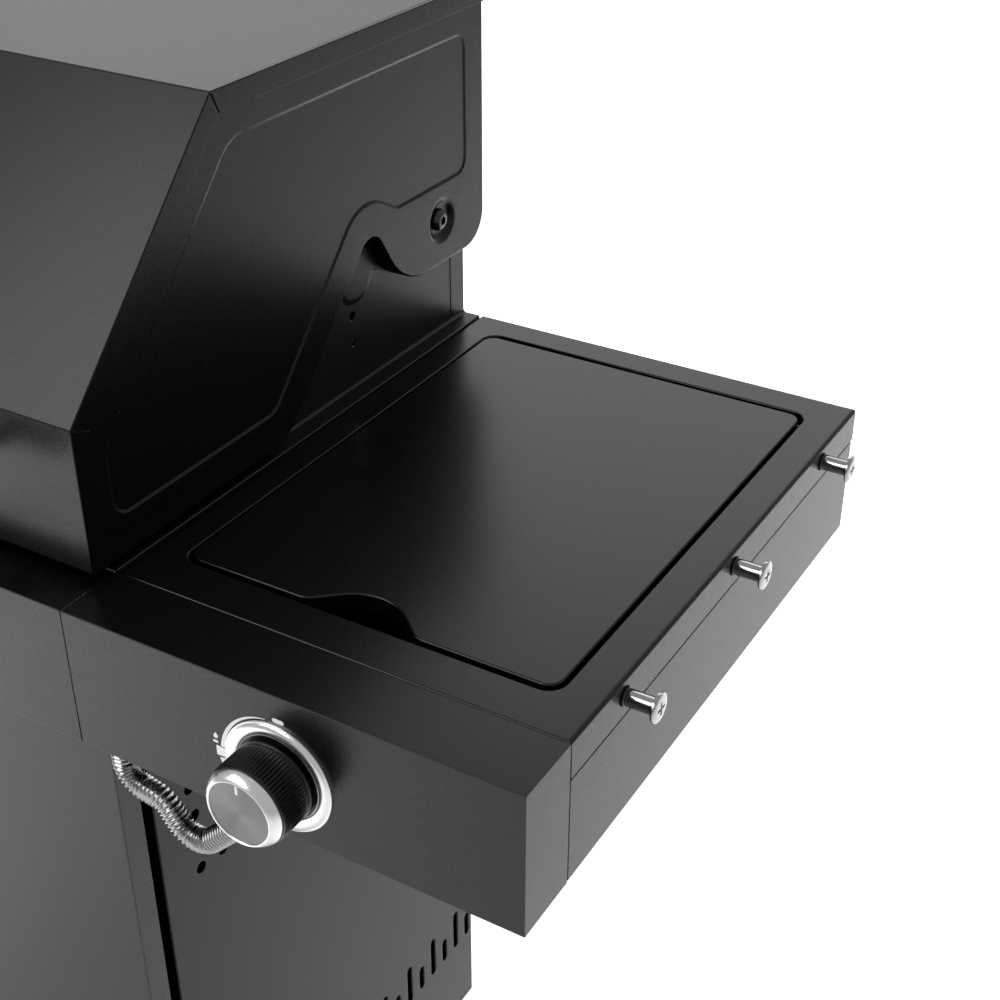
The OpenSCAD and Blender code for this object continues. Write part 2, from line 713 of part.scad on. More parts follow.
module knob(x) {
    bore_end = -30;
    color("#222223") translate([x, 0, sz(-knob_drop)]) difference() {
        translate([0, fy(-knob_back), 0]) rotate([90, 0, 0]) rotate_extrude($fn = 96)
            polygon([[0, 0], [knob_r, 0], [knob_r, knob_out - knob_back - 3],
                [knob_r - 3, knob_out - knob_back], [0, knob_out - knob_back]]);
        along_y(fy(bore_end), fy(0)) d_section(stem_r + run_gap);
        rod_y(0, fy(-8), 0, 10, stem_r + 1);
    }
}

// ---------------------------------------------------------------- hood

// Outer line of the hood from the front's lower edge over the top to the rear wall's lower edge
hood_line = [[fy(hood_front), sz(hood_low)], [fy(hood_front), sz(hood_break)], [fy(hood_fold), sz(hood_h)],
    [fy(hood_back), sz(hood_h)], [fy(hood_back), sz(skin_low)]];

module hood_skin() {
    half = hood_w / 2;
    front = [for (i = [0:3]) hood_line[i]];
    color("#1c1c1d") difference() {
        union() {
            along_x(-half, half) polygon(bent(front, -sheet));
            along_x(-half + 2.6, half - 2.6) polygon(bent(hood_line, -sheet));
            for (side = [LEFT, RIGHT]) on_side(side)
                along_x(half - 1, half) polygon(bent(front, -hood_flange));
        }
        translate([0, fy(0), 0]) thermometer_axis() cylinder(h = 30, r = 9, center = true);
        for (s = [LEFT, RIGHT]) rod_y(s * handle_x, fy(20), sz(handle_up), 20, 4);
    }
}

// End plate: it reaches back over the hinge bolt and clears the shelf with a notch
module hood_end(side) {
    x1 = hood_w / 2 - 1;
    x0 = x1 - sheet;
    under = [for (i = [1:3]) shifted(hood_line, i, -sheet - 0.05)];
    outline = rounded([
        [under[1].x, under[1].y, 0], [under[0].x, under[0].y, 0],
        [under[0].x, sz(5), 3], [fy(224.9), sz(5), 40], [fy(notch_back), sz(notch_up), 14],
        [fy(373.3), sz(arm_low), 55], [fy(hood_back), sz(arm_low), 26],
        [fy(hood_back), under[2].y, 0]]);
    color("#1c1c1d") on_side(side) {
        difference() {
            union() {
                along_x(x0, x1) polygon(outline);
                along_x(side_x + 1, x1) difference() {
                    polygon(outline);
                    polygon(inset(outline, sheet));
                    translate([fy(0), sz(140)]) square([600, 200]);
                    translate([fy(0), sz(0)]) square([200, 300]);
                }
            }
            rod_x(x0 - 5, fy(hinge_back), sz(hinge_up), 20, dish_r - 0.5);
        }
        translate([x1, fy(hinge_back), sz(hinge_up)]) rotate([0, 90, 0]) rotate_extrude()
            polygon([[dish_r, 0], [dish_r, -sheet], [dish_r - 4, -dish_d - sheet + 1],
                [hinge_r + run_gap, -dish_d - sheet + 1], [hinge_r + run_gap, -dish_d + 1],
                [dish_r - 4.6, -dish_d + 1]]);
    }
}

module hood_handle() {
    bar_r = 11;
    color("#c9cacc") {
        rod_x(-handle_x - 45, fy(-17), sz(handle_up), 2 * handle_x + 90, bar_r);
        for (s = [LEFT, RIGHT]) rod_y(s * handle_x, fy(-6.2), sz(handle_up), hood_front + 6.2, 9);
    }
}

// Axis through the middle of the slanted front, pointing outwards
module thermometer_axis() {
    slant = atan2(hood_h - hood_break, hood_fold - hood_front);
    translate([0, (hood_front + hood_fold) / 2, sz((hood_break + hood_h) / 2)])
        rotate([slant, 0, 0]) children();
}

module thermometer() {
    color("#cfd0d2") translate([0, fy(0), 0]) thermometer_axis() difference() {
        union() {
            translate([0, 0, -60]) cylinder(h = 60.2, r = 4);
            cylinder(h = 3, r = 38);
            difference() {
                cylinder(h = 12, r = 38);
                translate([0, 0, 3]) cylinder(h = 10, r = 35);
            }
        }
        translate([0, 0, -1]) cylinder(h = 10, r = 1.5 + run_gap);
    }
}

module thermometer_needle() {
    color("#c33a2c") translate([0, fy(0), 0]) thermometer_axis() union() {
        translate([0, 0, -0.8]) cylinder(h = 6, r = 1.5);
        translate([0, 0, 5]) cylinder(h = 1.6, r = 4);
        rotate([0, 0, 225 - 90]) translate([-0.9, 0, 5]) cube([1.8, 28, 1]);
    }
}

// ---------------------------------------------------------------- assembly

base_shelf();
side_panel(LEFT);  // side_panel_left
side_panel(RIGHT);  // side_panel_right
back_panel();
front_frame();
caster_plates();
firebox_body();
firebox_side(LEFT);  // firebox_side_left
firebox_side(RIGHT);  // firebox_side_right
control_panel();
side_shelf(LEFT);  // side_shelf_left
side_shelf(RIGHT, bay = true);  // side_shelf_right
shelf_side_rails();
side_fascia(LEFT);  // side_fascia_left
side_fascia(RIGHT);  // side_fascia_right
tool_hooks();
knob_bezels();
gas_manifold();
main_valves();
side_burner_valve();
gas_hose();
side_burner_bowl();
side_burner_head();
side_burner_grate();
main_burners();
flame_tamers();
warming_rack();
hinge_bolts();
hood_skin();
hood_end(LEFT);  // hood_end_left
hood_end(RIGHT);  // hood_end_right
hood_handle();
thermometer();
thermometer_needle();
side_burner_lid();
cooking_grate(LEFT);  // cooking_grate_left
cooking_grate(RIGHT);  // cooking_grate_right
grease_tray();
door(LEFT);  // door_left
door(RIGHT);  // door_right
door_handle(LEFT);  // door_handle_left
door_handle(RIGHT);  // door_handle_right
caster_fork(LEFT, FRONT);  // caster_fork_fl
caster_fork(RIGHT, FRONT);  // caster_fork_fr
caster_fork(LEFT, REAR);  // caster_fork_rl
caster_fork(RIGHT, REAR);  // caster_fork_rr
caster_wheel(LEFT, FRONT);  // caster_wheel_fl
caster_wheel(RIGHT, FRONT);  // caster_wheel_fr
caster_wheel(LEFT, REAR);  // caster_wheel_rl
caster_wheel(RIGHT, REAR);  // caster_wheel_rr
brake_pedal(LEFT);  // brake_pedal_left
brake_pedal(RIGHT);  // brake_pedal_right
valve_stem(-burner_pitch);  // valve_stem_1
valve_stem(0);  // valve_stem_2
valve_stem(burner_pitch);  // valve_stem_3
valve_stem(burner_x);  // valve_stem_side
knob(-burner_pitch);  // knob_1
knob(0);  // knob_2
knob(burner_pitch);  // knob_3
knob(burner_x);  // knob_side
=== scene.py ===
"""Gas barbecue grill: the looks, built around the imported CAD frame.

Lengths in this file are millimetres unless a name ends in _m. Depths run back from the fascia's
face and heights run up from the shelves' top, so a point on the grill is (x, depth, height).
"""
import json
import math

import bmesh
import bpy
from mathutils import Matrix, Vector
from mathutils.geometry import tessellate_polygon


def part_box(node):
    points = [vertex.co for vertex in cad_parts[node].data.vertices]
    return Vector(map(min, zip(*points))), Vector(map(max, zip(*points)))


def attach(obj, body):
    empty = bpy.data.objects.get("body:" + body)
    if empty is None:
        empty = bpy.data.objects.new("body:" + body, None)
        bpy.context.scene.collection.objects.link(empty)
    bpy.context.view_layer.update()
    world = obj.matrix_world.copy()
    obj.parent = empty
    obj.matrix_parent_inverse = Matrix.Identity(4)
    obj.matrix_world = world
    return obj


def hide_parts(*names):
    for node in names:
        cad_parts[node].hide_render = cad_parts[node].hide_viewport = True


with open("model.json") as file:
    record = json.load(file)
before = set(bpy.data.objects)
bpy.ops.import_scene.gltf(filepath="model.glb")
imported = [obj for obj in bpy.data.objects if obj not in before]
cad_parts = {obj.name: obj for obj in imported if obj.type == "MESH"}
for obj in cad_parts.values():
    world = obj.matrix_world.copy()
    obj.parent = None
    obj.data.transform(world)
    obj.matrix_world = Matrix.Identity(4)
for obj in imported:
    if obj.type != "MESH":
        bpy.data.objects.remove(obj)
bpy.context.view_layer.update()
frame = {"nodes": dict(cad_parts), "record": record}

MM = 0.001
RECORD = frame["record"]
BODY = {node: body for body, nodes in RECORD["behaviour"]["bodies"].items() for node in nodes}
SLOT = {row["node"]: row["material_slot"] for row in RECORD["subparts"]}

fascia_low, fascia_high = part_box("side_fascia_right")
pan_low, pan_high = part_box("side_shelf_right")
lid_low, lid_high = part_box("side_burner_lid")
wall_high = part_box("firebox_side_right")[1]
skin_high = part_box("hood_skin")[1]

FRONT = fascia_low.y / MM
SHELF = fascia_high.z / MM
OUTER = fascia_high.x / MM
SHEET = 1.5
RIGHT = 1
LEFT = -1
FLAT = math.radians(0.6)            # faces that bend less than this are one flat face


def middle_of(node):
    """Middle of a CAD node's box, in millimetres."""
    low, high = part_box(node)
    return (low + high) / 2 / MM


KNOB_X = [middle_of(f"knob_{i}").x for i in (1, 2, 3)]
BURNER_X = middle_of("knob_side").x
KNOB_DROP = SHELF - middle_of("knob_side").z


def side_name(side):
    return "right" if side == RIGHT else "left"


# ---------------------------------------------------------------- outlines

CORNER_STEPS = 8
BEND_STEPS = 4


def arc_corner(a, b, c, radius, steps):
    """Points of the arc that rounds corner b between a and c."""
    u = (a - b).normalized()
    v = (c - b).normalized()
    half = math.acos(max(-1.0, min(1.0, u.dot(v)))) / 2
    if half > math.pi / 2 - 1e-4:
        return [b.copy() for _ in range(steps + 1)]
    middle = b + (u + v).normalized() * (radius / math.sin(half))
    first = b + u * (radius / math.tan(half)) - middle
    last = b + v * (radius / math.tan(half)) - middle
    start = math.atan2(first.y, first.x)
    turn = math.atan2(last.y, last.x) - start
    turn = (turn + math.pi) % (2 * math.pi) - math.pi
    return [middle + radius * Vector((math.cos(start + turn * k / steps),
                                      math.sin(start + turn * k / steps)))
            for k in range(steps + 1)]


def moved_in(corners, distance):
    """Anticlockwise corners (x, y, radius) moved inwards; radii shrink outside and grow inside."""
    moved = []
    for i, (x, y, radius) in enumerate(corners):
        here = Vector((x, y))
        before = here - Vector(corners[i - 1][:2])
        after = Vector(corners[(i + 1) % len(corners)][:2]) - here
        n1 = Vector((-before.y, before.x)).normalized()
        n2 = Vector((-after.y, after.x)).normalized()
        mitre = (n1 + n2) * (distance / (1 + n1.dot(n2)))
        convex = before.x * after.y - before.y * after.x > 0
        grown = max(0.3, radius - distance if convex else radius + distance) if radius else 0
        moved.append((x + mitre.x, y + mitre.y, grown))
    return moved


def outline(corners, inwards=0.0):
    """Closed outline of anticlockwise corners (x, y, radius), moved inwards."""
    corners = moved_in(corners, inwards)
    points = []
    for i, (x, y, radius) in enumerate(corners):
        if radius:
            a = Vector(corners[i - 1][:2])
            c = Vector(corners[(i + 1) % len(corners)][:2])
            points += arc_corner(a, Vector((x, y)), c, radius, CORNER_STEPS)
        else:
            points.append(Vector((x, y)))
    return points


def rectangle(x0, y0, x1, y1, radius=0.0):
    """Corners of an upright rectangle with one radius all round."""
    return [(x0, y0, radius), (x1, y0, radius), (x1, y1, radius), (x0, y1, radius)]


def circle(x, y, radius, steps=48):
    """Points round a circle, anticlockwise."""
    return [Vector((x + radius * math.cos(2 * math.pi * k / steps),
                    y + radius * math.sin(2 * math.pi * k / steps))) for k in range(steps)]


# ---------------------------------------------------------------- places

def on_end(x, side=RIGHT):
    """Plane that faces sideways: (depth, height, outwards)."""
    return lambda u, v, h: Vector((side * (x + h), FRONT + u, SHELF + v)) * MM


def on_top(height=0.0, side=RIGHT):
    """Plane that faces up: (x, depth, upwards)."""
    return lambda u, v, h: Vector((side * u, FRONT + v, SHELF + height + h)) * MM


def on_front():
    """Plane that faces forwards: (x, height, outwards)."""
    return lambda u, v, h: Vector((u, FRONT - h, SHELF + v)) * MM


def on_slant(x, depth, height, slant):
    """Plane that faces forwards and up by slant degrees from upright, centred on a point."""
    s, c = math.sin(math.radians(slant)), math.cos(math.radians(slant))
    centre = Vector((x, FRONT + depth, SHELF + height))
    return lambda u, v, h: (centre + Vector((u, v * c - h * s, v * s + h * c))) * MM


def on_axle(centre):
    """Plane that faces sideways round a point: (forwards, height, outwards)."""
    return lambda u, v, h: (centre + Vector((h, u, v))) * MM


def shifted(place, x, y):
    """The same plane with its origin moved within it."""
    return lambda u, v, h: place(u + x, v + y, h)


# ---------------------------------------------------------------- meshes

def rings_of(bm, loops, place):
    """Rings of vertices from loops of (points, height) on a plane."""
    return [[bm.verts.new(place(p.x, p.y, h)) for p in points] for points, h in loops]


def bridge(bm, rings, closed=True):
    """Faces between each ring and the next."""
    for a, b in zip(rings, rings[1:]):
        for i in range(len(a) if closed else len(a) - 1):
            j = (i + 1) % len(a)
            bm.faces.new((a[i], a[j], b[j], b[i]))


def fill(bm, rings):
    """Flat face between the first ring and the others, which are holes in it."""
    flat = [v for ring in rings for v in ring]
    for triangle in tessellate_polygon([[v.co for v in ring] for ring in rings]):
        bm.faces.new([flat[i] for i in triangle])


def merge_flat(bm):
    """Joins triangles that lie in one flat face."""
    bmesh.ops.dissolve_limit(bm, angle_limit=FLAT, verts=bm.verts, edges=bm.edges)


def face_outwards(bm, way):
    """Makes the faces agree, with the largest one facing the given way."""
    bmesh.ops.recalc_face_normals(bm, faces=bm.faces)
    largest = max(bm.faces, key=lambda f: f.calc_area())
    if largest.normal.dot(way) < 0:
        bmesh.ops.reverse_faces(bm, faces=bm.faces)


def piece(name, bm, material, body, smooth=35.0):
    """Object from a bmesh, shaded smooth below an angle, that rides on a body."""
    bmesh.ops.remove_doubles(bm, verts=bm.verts, dist=1e-6)
    mesh = bpy.data.meshes.new(name)
    for f in bm.faces:
        f.smooth = True
    for e in bm.edges:
        e.smooth = len(e.link_faces) == 2 and e.calc_face_angle(0) < math.radians(smooth)
    bm.to_mesh(mesh)
    bm.free()
    made = bpy.data.objects.new(name, mesh)
    bpy.context.scene.collection.objects.link(made)
    mesh.materials.append(material)
    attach(made, body)
    return made


def for_node(made, node):
    """The piece stands for a CAD node, which is hidden."""
    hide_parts(node)
    return made


def weighted(made):
    """Large flat faces keep their own normal beside rounded edges."""
    bend = made.modifiers.new("flat_faces", "WEIGHTED_NORMAL")
    bend.keep_sharp = True
    bend.weight = 100
    return made


def thicken(made):
    """Sheet metal: the drawn side is the outer face."""
    wall = made.modifiers.new("sheet", "SOLIDIFY")
    wall.thickness = SHEET * MM
    wall.offset = -1
    wall.use_even_offset = True
    wall.use_quality_normals = True
    return made


def pressed(name, rim, features, place, material, body):
    """Pressed sheet: rim loops from outside in, a flat face, and features sunk or raised in it.
    A feature is (loops, open); its loops are (points, height) from outside in."""
    bm = bmesh.new()
    outer = rings_of(bm, rim, place)
    bridge(bm, outer)
    holes = []
    for loops, is_open in features:
        rings = rings_of(bm, loops, place)
        bridge(bm, rings)
        holes.append(rings[0])
        if not is_open:
            fill(bm, [rings[-1]])
    fill(bm, [outer[-1], *holes])
    face_outwards(bm, place(0, 0, 1) - place(0, 0, 0))
    return weighted(thicken(piece(name, bm, material, body)))


def fold(corners, radius, drop, steps=5):
    """Rim loops of a sheet folded down round its edge with a bend radius."""
    loops = [(outline(corners), -drop)]
    for k in range(steps + 1):
        a = math.pi / 2 * k / steps
        loops.append((outline(corners, radius * (1 - math.cos(a))), -radius * (1 - math.sin(a))))
    return loops


def step(corners, width, rise):
    """Loops of a soft step that starts at an outline and ends inside it, rise higher."""
    steps = 6
    loops = []
    for k in range(steps + 1):
        t = k / steps
        loops.append((outline(corners, width * t), rise * t * t * (3 - 2 * t)))
    return loops


def round_step(x, y, profile, steps=48):
    """Loops of a round dent or hole from its profile of (radius, height)."""
    return [(circle(x, y, r, steps), h) for r, h in profile]


def cad_mesh(node):
    """The CAD node's mesh with its flat faces whole again."""
    bm = bmesh.new()
    bm.from_mesh(frame["nodes"][node].data)
    bmesh.ops.remove_doubles(bm, verts=bm.verts, dist=3e-6)
    merge_flat(bm)
    return bm


def round_edges(bm, width, where=None, segments=2):
    """Rounds the sharp edges that pass a test of their middle (x, depth, height) and the edge."""
    sharp = math.radians(30)
    chosen = []
    for e in bm.edges:
        if len(e.link_faces) != 2 or e.calc_face_angle(0) < sharp:
            continue
        middle = (e.verts[0].co + e.verts[1].co) / 2 / MM
        if where is None or where(middle.x, middle.y - FRONT, middle.z - SHELF, e):
            chosen.append(e)
    if chosen:
        bmesh.ops.bevel(bm, geom=chosen, offset=width * MM, offset_type="OFFSET",
                        segments=segments, profile=0.5, affect="EDGES", clamp_overlap=False)


def rounded_copy(node, material, width, folds=()):
    """A CAD node with its edges broken; folds are (radius, test) for wider bends."""
    bm = cad_mesh(node)
    for radius, where in folds:
        round_edges(bm, radius, where, segments=4)
    round_edges(bm, width)
    made = piece(node + "_finished", bm, material, BODY[node])
    return for_node(weighted(made), node)


def turned(name, profile, place, material, body, steps=64, shape=None, smooth=35.0):
    """Lathe: profile is (radius, height) along the axis; shape may change a point's radius and
    height from its radius, angle and height. A profile ends on the axis or where it starts."""
    bm = bmesh.new()
    rings = []
    for radius, height in profile:
        ring = []
        for k in range(steps):
            angle = 2 * math.pi * k / steps
            r, h = shape(radius, angle, height) if shape else (radius, height)
            ring.append(bm.verts.new(place(r * math.cos(angle), r * math.sin(angle), h)))
        rings.append(ring)
    bridge(bm, rings)
    if profile[0] != profile[-1]:
        bm.faces.new(rings[0])
        bm.faces.new(rings[-1])
    bmesh.ops.remove_doubles(bm, verts=bm.verts, dist=2e-6)
    bmesh.ops.recalc_face_normals(bm, faces=bm.faces)
    return piece(name, bm, material, body, smooth)


def prism(name, points, bottom, top, place, material, body, edge=0.0, where=None, segments=2):
    """Closed solid from an outline of points between two heights, with rounded edges."""
    bm = bmesh.new()
    rings = rings_of(bm, [(points, bottom), (points, top)], place)
    bridge(bm, rings)
    fill(bm, [rings[0]])
    fill(bm, [rings[1]])
    bmesh.ops.recalc_face_normals(bm, faces=bm.faces)
    merge_flat(bm)
    if edge:
        round_edges(bm, edge, where, segments)
    return weighted(piece(name, bm, material, body))


# ---------------------------------------------------------------- materials

def finish(name, dark, light, roughness, metallic=0.0, ior=1.5, tone_scale=9.0,
           grain_scale=700.0, grain=0.00002, stretch=(1, 1, 1)):
    """Surface with a slow change of tone and a fine grain in its gloss and height; scales are
    per metre, grain is the height in metres, and stretch draws the grain out along an axis."""
    material = bpy.data.materials.new(name)
    material.use_nodes = True
    nodes, links = material.node_tree.nodes, material.node_tree.links
    shader = nodes["Principled BSDF"]
    place = nodes.new("ShaderNodeTexCoord")
    aim = nodes.new("ShaderNodeMapping")
    aim.inputs["Scale"].default_value = stretch
    links.new(place.outputs["Object"], aim.inputs["Vector"])
    tone = nodes.new("ShaderNodeTexNoise")
    tone.inputs["Scale"].default_value = tone_scale
    tone.inputs["Detail"].default_value = 6
    links.new(place.outputs["Object"], tone.inputs["Vector"])
    colours = nodes.new("ShaderNodeValToRGB")
    colours.color_ramp.elements[0].position = 0.32
    colours.color_ramp.elements[1].position = 0.68
    colours.color_ramp.elements[0].color = (*dark, 1)
    colours.color_ramp.elements[1].color = (*light, 1)
    links.new(tone.outputs["Fac"], colours.inputs["Fac"])
    links.new(colours.outputs["Color"], shader.inputs["Base Color"])
    grain_noise = nodes.new("ShaderNodeTexNoise")
    grain_noise.inputs["Scale"].default_value = grain_scale
    grain_noise.inputs["Detail"].default_value = 3
    links.new(aim.outputs["Vector"], grain_noise.inputs["Vector"])
    gloss = nodes.new("ShaderNodeMapRange")
    gloss.inputs["To Min"].default_value = roughness[0]
    gloss.inputs["To Max"].default_value = roughness[1]
    gloss.inputs["From Min"].default_value = 0.3
    gloss.inputs["From Max"].default_value = 0.7
    links.new(grain_noise.outputs["Fac"], gloss.inputs["Value"])
    links.new(gloss.outputs["Result"], shader.inputs["Roughness"])
    bump = nodes.new("ShaderNodeBump")
    bump.inputs["Distance"].default_value = grain
    bump.inputs["Strength"].default_value = 1.0
    links.new(grain_noise.outputs["Fac"], bump.inputs["Height"])
    links.new(bump.outputs["Normal"], shader.inputs["Normal"])
    shader.inputs["Metallic"].default_value = metallic
    shader.inputs["IOR"].default_value = ior
    return material


def grey(value, warm=0.0):
    """Colour of one value, a little redder and less blue if it is warm."""
    return (value * (1 + warm), value, value * (1 - warm))


COAT = finish("black_coat", grey(0.0006), grey(0.0012), (0.25, 0.31), ior=1.42,
              tone_scale=5, grain_scale=1100, grain=0.000004)
# Darker copy of the black coat that reflects less: painted shade on the hood's skin, flanges and
# end plates.
HOOD_SHADED_COAT = finish("hood_shaded_coat", grey(0.0005), grey(0.001), (0.25, 0.31), ior=1.37,
                   tone_scale=5, grain_scale=1100, grain=0.000004)
# Copy of the black coat that reflects less and is a little rougher: painted shade on the cabinet's
# side panels.
CABINET_SHADED_COAT = finish("cabinet_shaded_coat", grey(0.0008), grey(0.0014), (0.28, 0.34), ior=1.31,
                      tone_scale=5, grain_scale=1100, grain=0.000004)
FIREBOX_COAT = finish("firebox_coat", grey(0.0015), grey(0.0025), (0.34, 0.44), ior=1.45,
                      tone_scale=14, grain_scale=900, grain=0.000008)
KNOB_BLACK = finish("knob_plastic", grey(0.002), grey(0.004), (0.26, 0.34), ior=1.5,
                    grain_scale=1500, grain=0.000006)
CHROME = finish("chrome", grey(0.84), grey(0.92), (0.19, 0.25), metallic=1.0,
                grain_scale=400, grain=0.000001)
# Dimmer, glossier copy of the chrome: painted shade that makes the pegs read grey.
PEG_SHADED_CHROME = finish("peg_shaded_chrome", grey(0.42), grey(0.50), (0.1, 0.16), metallic=1.0,
                    grain_scale=400, grain=0.000001)
SPUN = finish("spun_aluminium", grey(0.18), grey(0.25), (0.28, 0.34), metallic=1.0,
              grain_scale=900, grain=0.0000015)
STAINLESS = finish("brushed_stainless", grey(0.50, 0.01), grey(0.62, 0.01), (0.24, 0.36),
                   metallic=1.0, grain_scale=1200, grain=0.000006, stretch=(0.02, 1, 1))
UPRIGHT_STAINLESS = finish("brushed_upright", grey(0.50, 0.01), grey(0.62, 0.01), (0.24, 0.36),
                           metallic=1.0, grain_scale=1200, grain=0.000006, stretch=(1, 1, 0.02))
PIPE_STEEL = finish("corrugated_steel", grey(0.38), grey(0.52), (0.14, 0.22), metallic=1.0,
                    grain_scale=500, grain=0.000003)
ZINC = finish("zinc_plate", (0.40, 0.41, 0.43), (0.52, 0.52, 0.53), (0.3, 0.5), metallic=1.0,
              tone_scale=40, grain_scale=350, grain=0.00001)
IRON = finish("cast_iron", grey(0.018), grey(0.032), (0.5, 0.75), tone_scale=60,
              grain_scale=420, grain=0.00009)
BLACK_BOLT = finish("black_bolt", grey(0.004), grey(0.008), (0.16, 0.24), ior=1.6,
                    grain_scale=900, grain=0.000004)
BURNER_METAL = finish("burner_casting", grey(0.30, 0.04), grey(0.42, 0.04), (0.4, 0.6),
                      metallic=1.0, tone_scale=50, grain_scale=300, grain=0.00006)
BRASS = finish("brass", (0.50, 0.34, 0.13), (0.62, 0.44, 0.18), (0.2, 0.32), metallic=1.0,
               grain_scale=800, grain=0.000004)
RUBBER = finish("tyre_rubber", grey(0.022), grey(0.035), (0.6, 0.8), tone_scale=50,
                grain_scale=600, grain=0.00003)
HUB = finish("hub_plastic", grey(0.03), grey(0.045), (0.35, 0.5), tone_scale=40,
             grain_scale=900, grain=0.00001)
PEDAL = finish("pedal_plastic", (0.36, 0.014, 0.012), (0.45, 0.02, 0.016), (0.3, 0.42),
               grain_scale=900, grain=0.00001)
TRAY = finish("aluminised_tray", grey(0.30), grey(0.42), (0.35, 0.55), metallic=1.0,
              tone_scale=60, grain_scale=260, grain=0.00002)
PRINT = finish("white_print", grey(0.72), grey(0.80), (0.45, 0.55), grain_scale=1500,
               grain=0.000003)
DIAL = finish("dial_enamel", grey(0.74), grey(0.82), (0.3, 0.4), grain_scale=900, grain=0.000002)
INK = finish("dial_ink", grey(0.01), grey(0.02), (0.4, 0.5), grain_scale=1500, grain=0.000002)
NEEDLE_RED = finish("needle_red", (0.5, 0.02, 0.015), (0.58, 0.03, 0.02), (0.3, 0.4),
                    grain_scale=900, grain=0.000003)
FLOOR = finish("studio_floor", grey(0.80), grey(0.82), (0.6, 0.7), tone_scale=1.5,
               grain_scale=60, grain=0.00002)

BY_SLOT = {"black_coat": COAT, "firebox_coat": FIREBOX_COAT, "knob_black": KNOB_BLACK,
           "chrome": CHROME, "stainless": STAINLESS, "hose_steel": PIPE_STEEL, "zinc": ZINC,
           "cast_iron": IRON, "burner_metal": BURNER_METAL, "brass": BRASS, "rubber": RUBBER,
           "pedal_red": PEDAL, "needle_red": NEEDLE_RED, "tray_steel": TRAY}


# ---------------------------------------------------------------- hood

HOOD_FRONT = 30.0
HOOD_BREAK = 106.0
HOOD_FOLD = 177.0
HOOD_TOP = skin_high.z / MM - SHELF
HOOD_BACK = skin_high.y / MM - FRONT
HOOD_HALF = skin_high.x / MM
HOOD_LOW = 8.0
SKIN_BACK_LOW = 155.0
FLANGE = 15.0
PLATE_X = HOOD_HALF - 1.0           # face of the end plates, just under the flanges
REAR_HALF = HOOD_HALF - 2.7         # the rear wall stops inside the end plates
HINGE = (426.3, 98.2)
BOLT_SEAT = PLATE_X - 3.75          # underside of the bolt heads, clear of the dishes
HOOD_LINE = [(HOOD_FRONT, HOOD_LOW), (HOOD_FRONT, HOOD_BREAK), (HOOD_FOLD, HOOD_TOP),
             (HOOD_BACK, HOOD_TOP), (HOOD_BACK, SKIN_BACK_LOW)]


def beside(line, distance):
    """Open path moved to its right-hand side with mitred corners."""
    moved = []
    for i, point in enumerate(line):
        here = Vector(point)
        before = (here - Vector(line[i - 1])).normalized() if i else None
        after = (Vector(line[i + 1]) - here).normalized() if i + 1 < len(line) else before
        before = before or after
        n1, n2 = Vector((before.y, -before.x)), Vector((after.y, -after.x))
        moved.append(here + (n1 + n2) * (distance / (1 + n1.dot(n2))))
    return moved


def bent_line(line, radius):
    """Open path with its inner corners rounded."""
    points = [Vector(line[0])]
    for i in range(1, len(line) - 1):
        points += arc_corner(Vector(line[i - 1]), Vector(line[i]), Vector(line[i + 1]),
                             radius, BEND_STEPS)
    return points + [Vector(line[-1])]


def hood_skin():
    """Front, slanted face, top and rear wall in one bent sheet; the rear wall is narrower."""
    bm = bmesh.new()
    points = bent_line(HOOD_LINE, 2.2)
    shared = 1 + 2 * (BEND_STEPS + 1)
    tip = Vector((HOOD_BACK, HOOD_TOP))
    rows = [[bm.verts.new(Vector((x, FRONT + p.x, SHELF + p.y)) * MM) for p in points]
            for x in (-REAR_HALF, REAR_HALF)]
    bridge(bm, rows, closed=False)
    for row, x, edge in ((rows[0], -REAR_HALF, -HOOD_HALF), (rows[1], REAR_HALF, HOOD_HALF)):
        inner = row[:shared] + [bm.verts.new(Vector((x, FRONT + tip.x, SHELF + tip.y)) * MM)]
        outer = [bm.verts.new(Vector((edge, v.co.y / MM, v.co.z / MM)) * MM) for v in inner]
        bridge(bm, [inner, outer], closed=False)
    face_outwards(bm, Vector((0, 0, 1)))
    made = piece("hood_skin_sheet", bm, HOOD_SHADED_COAT, "hood")
    thicken(made)
    soft = made.modifiers.new("edge", "BEVEL")
    soft.width = 0.7 * MM
    soft.segments = 3
    soft.limit_method = "ANGLE"
    soft.angle_limit = math.radians(50)
    return for_node(weighted(made), "hood_skin")


def hood_flanges(side):
    """Strips of the skin folded over the end plate, slit at the corners."""
    line = HOOD_LINE[:4]
    inner = beside(line, FLANGE)
    slit = 0.5
    for i in range(len(line) - 1):
        a, b = Vector(line[i]), Vector(line[i + 1])
        along = (b - a).normalized()
        c, d = inner[i + 1], inner[i]
        first = along * slit if i else Vector((0, 0))
        last = along * slit if i < len(line) - 2 else Vector((0, 0))
        inset = Vector((along.y, -along.x)) * 0.25
        points = [a + first + inset, b - last + inset, c - last, d + first]
        made = prism(f"hood_flange_{side_name(side)}_{i}", points, -0.1, 1.0,
                     on_end(PLATE_X, side), HOOD_SHADED_COAT, "hood", edge=0.55,
                     where=lambda x, depth, height, e: abs(x) > HOOD_HALF - 0.2, segments=3)


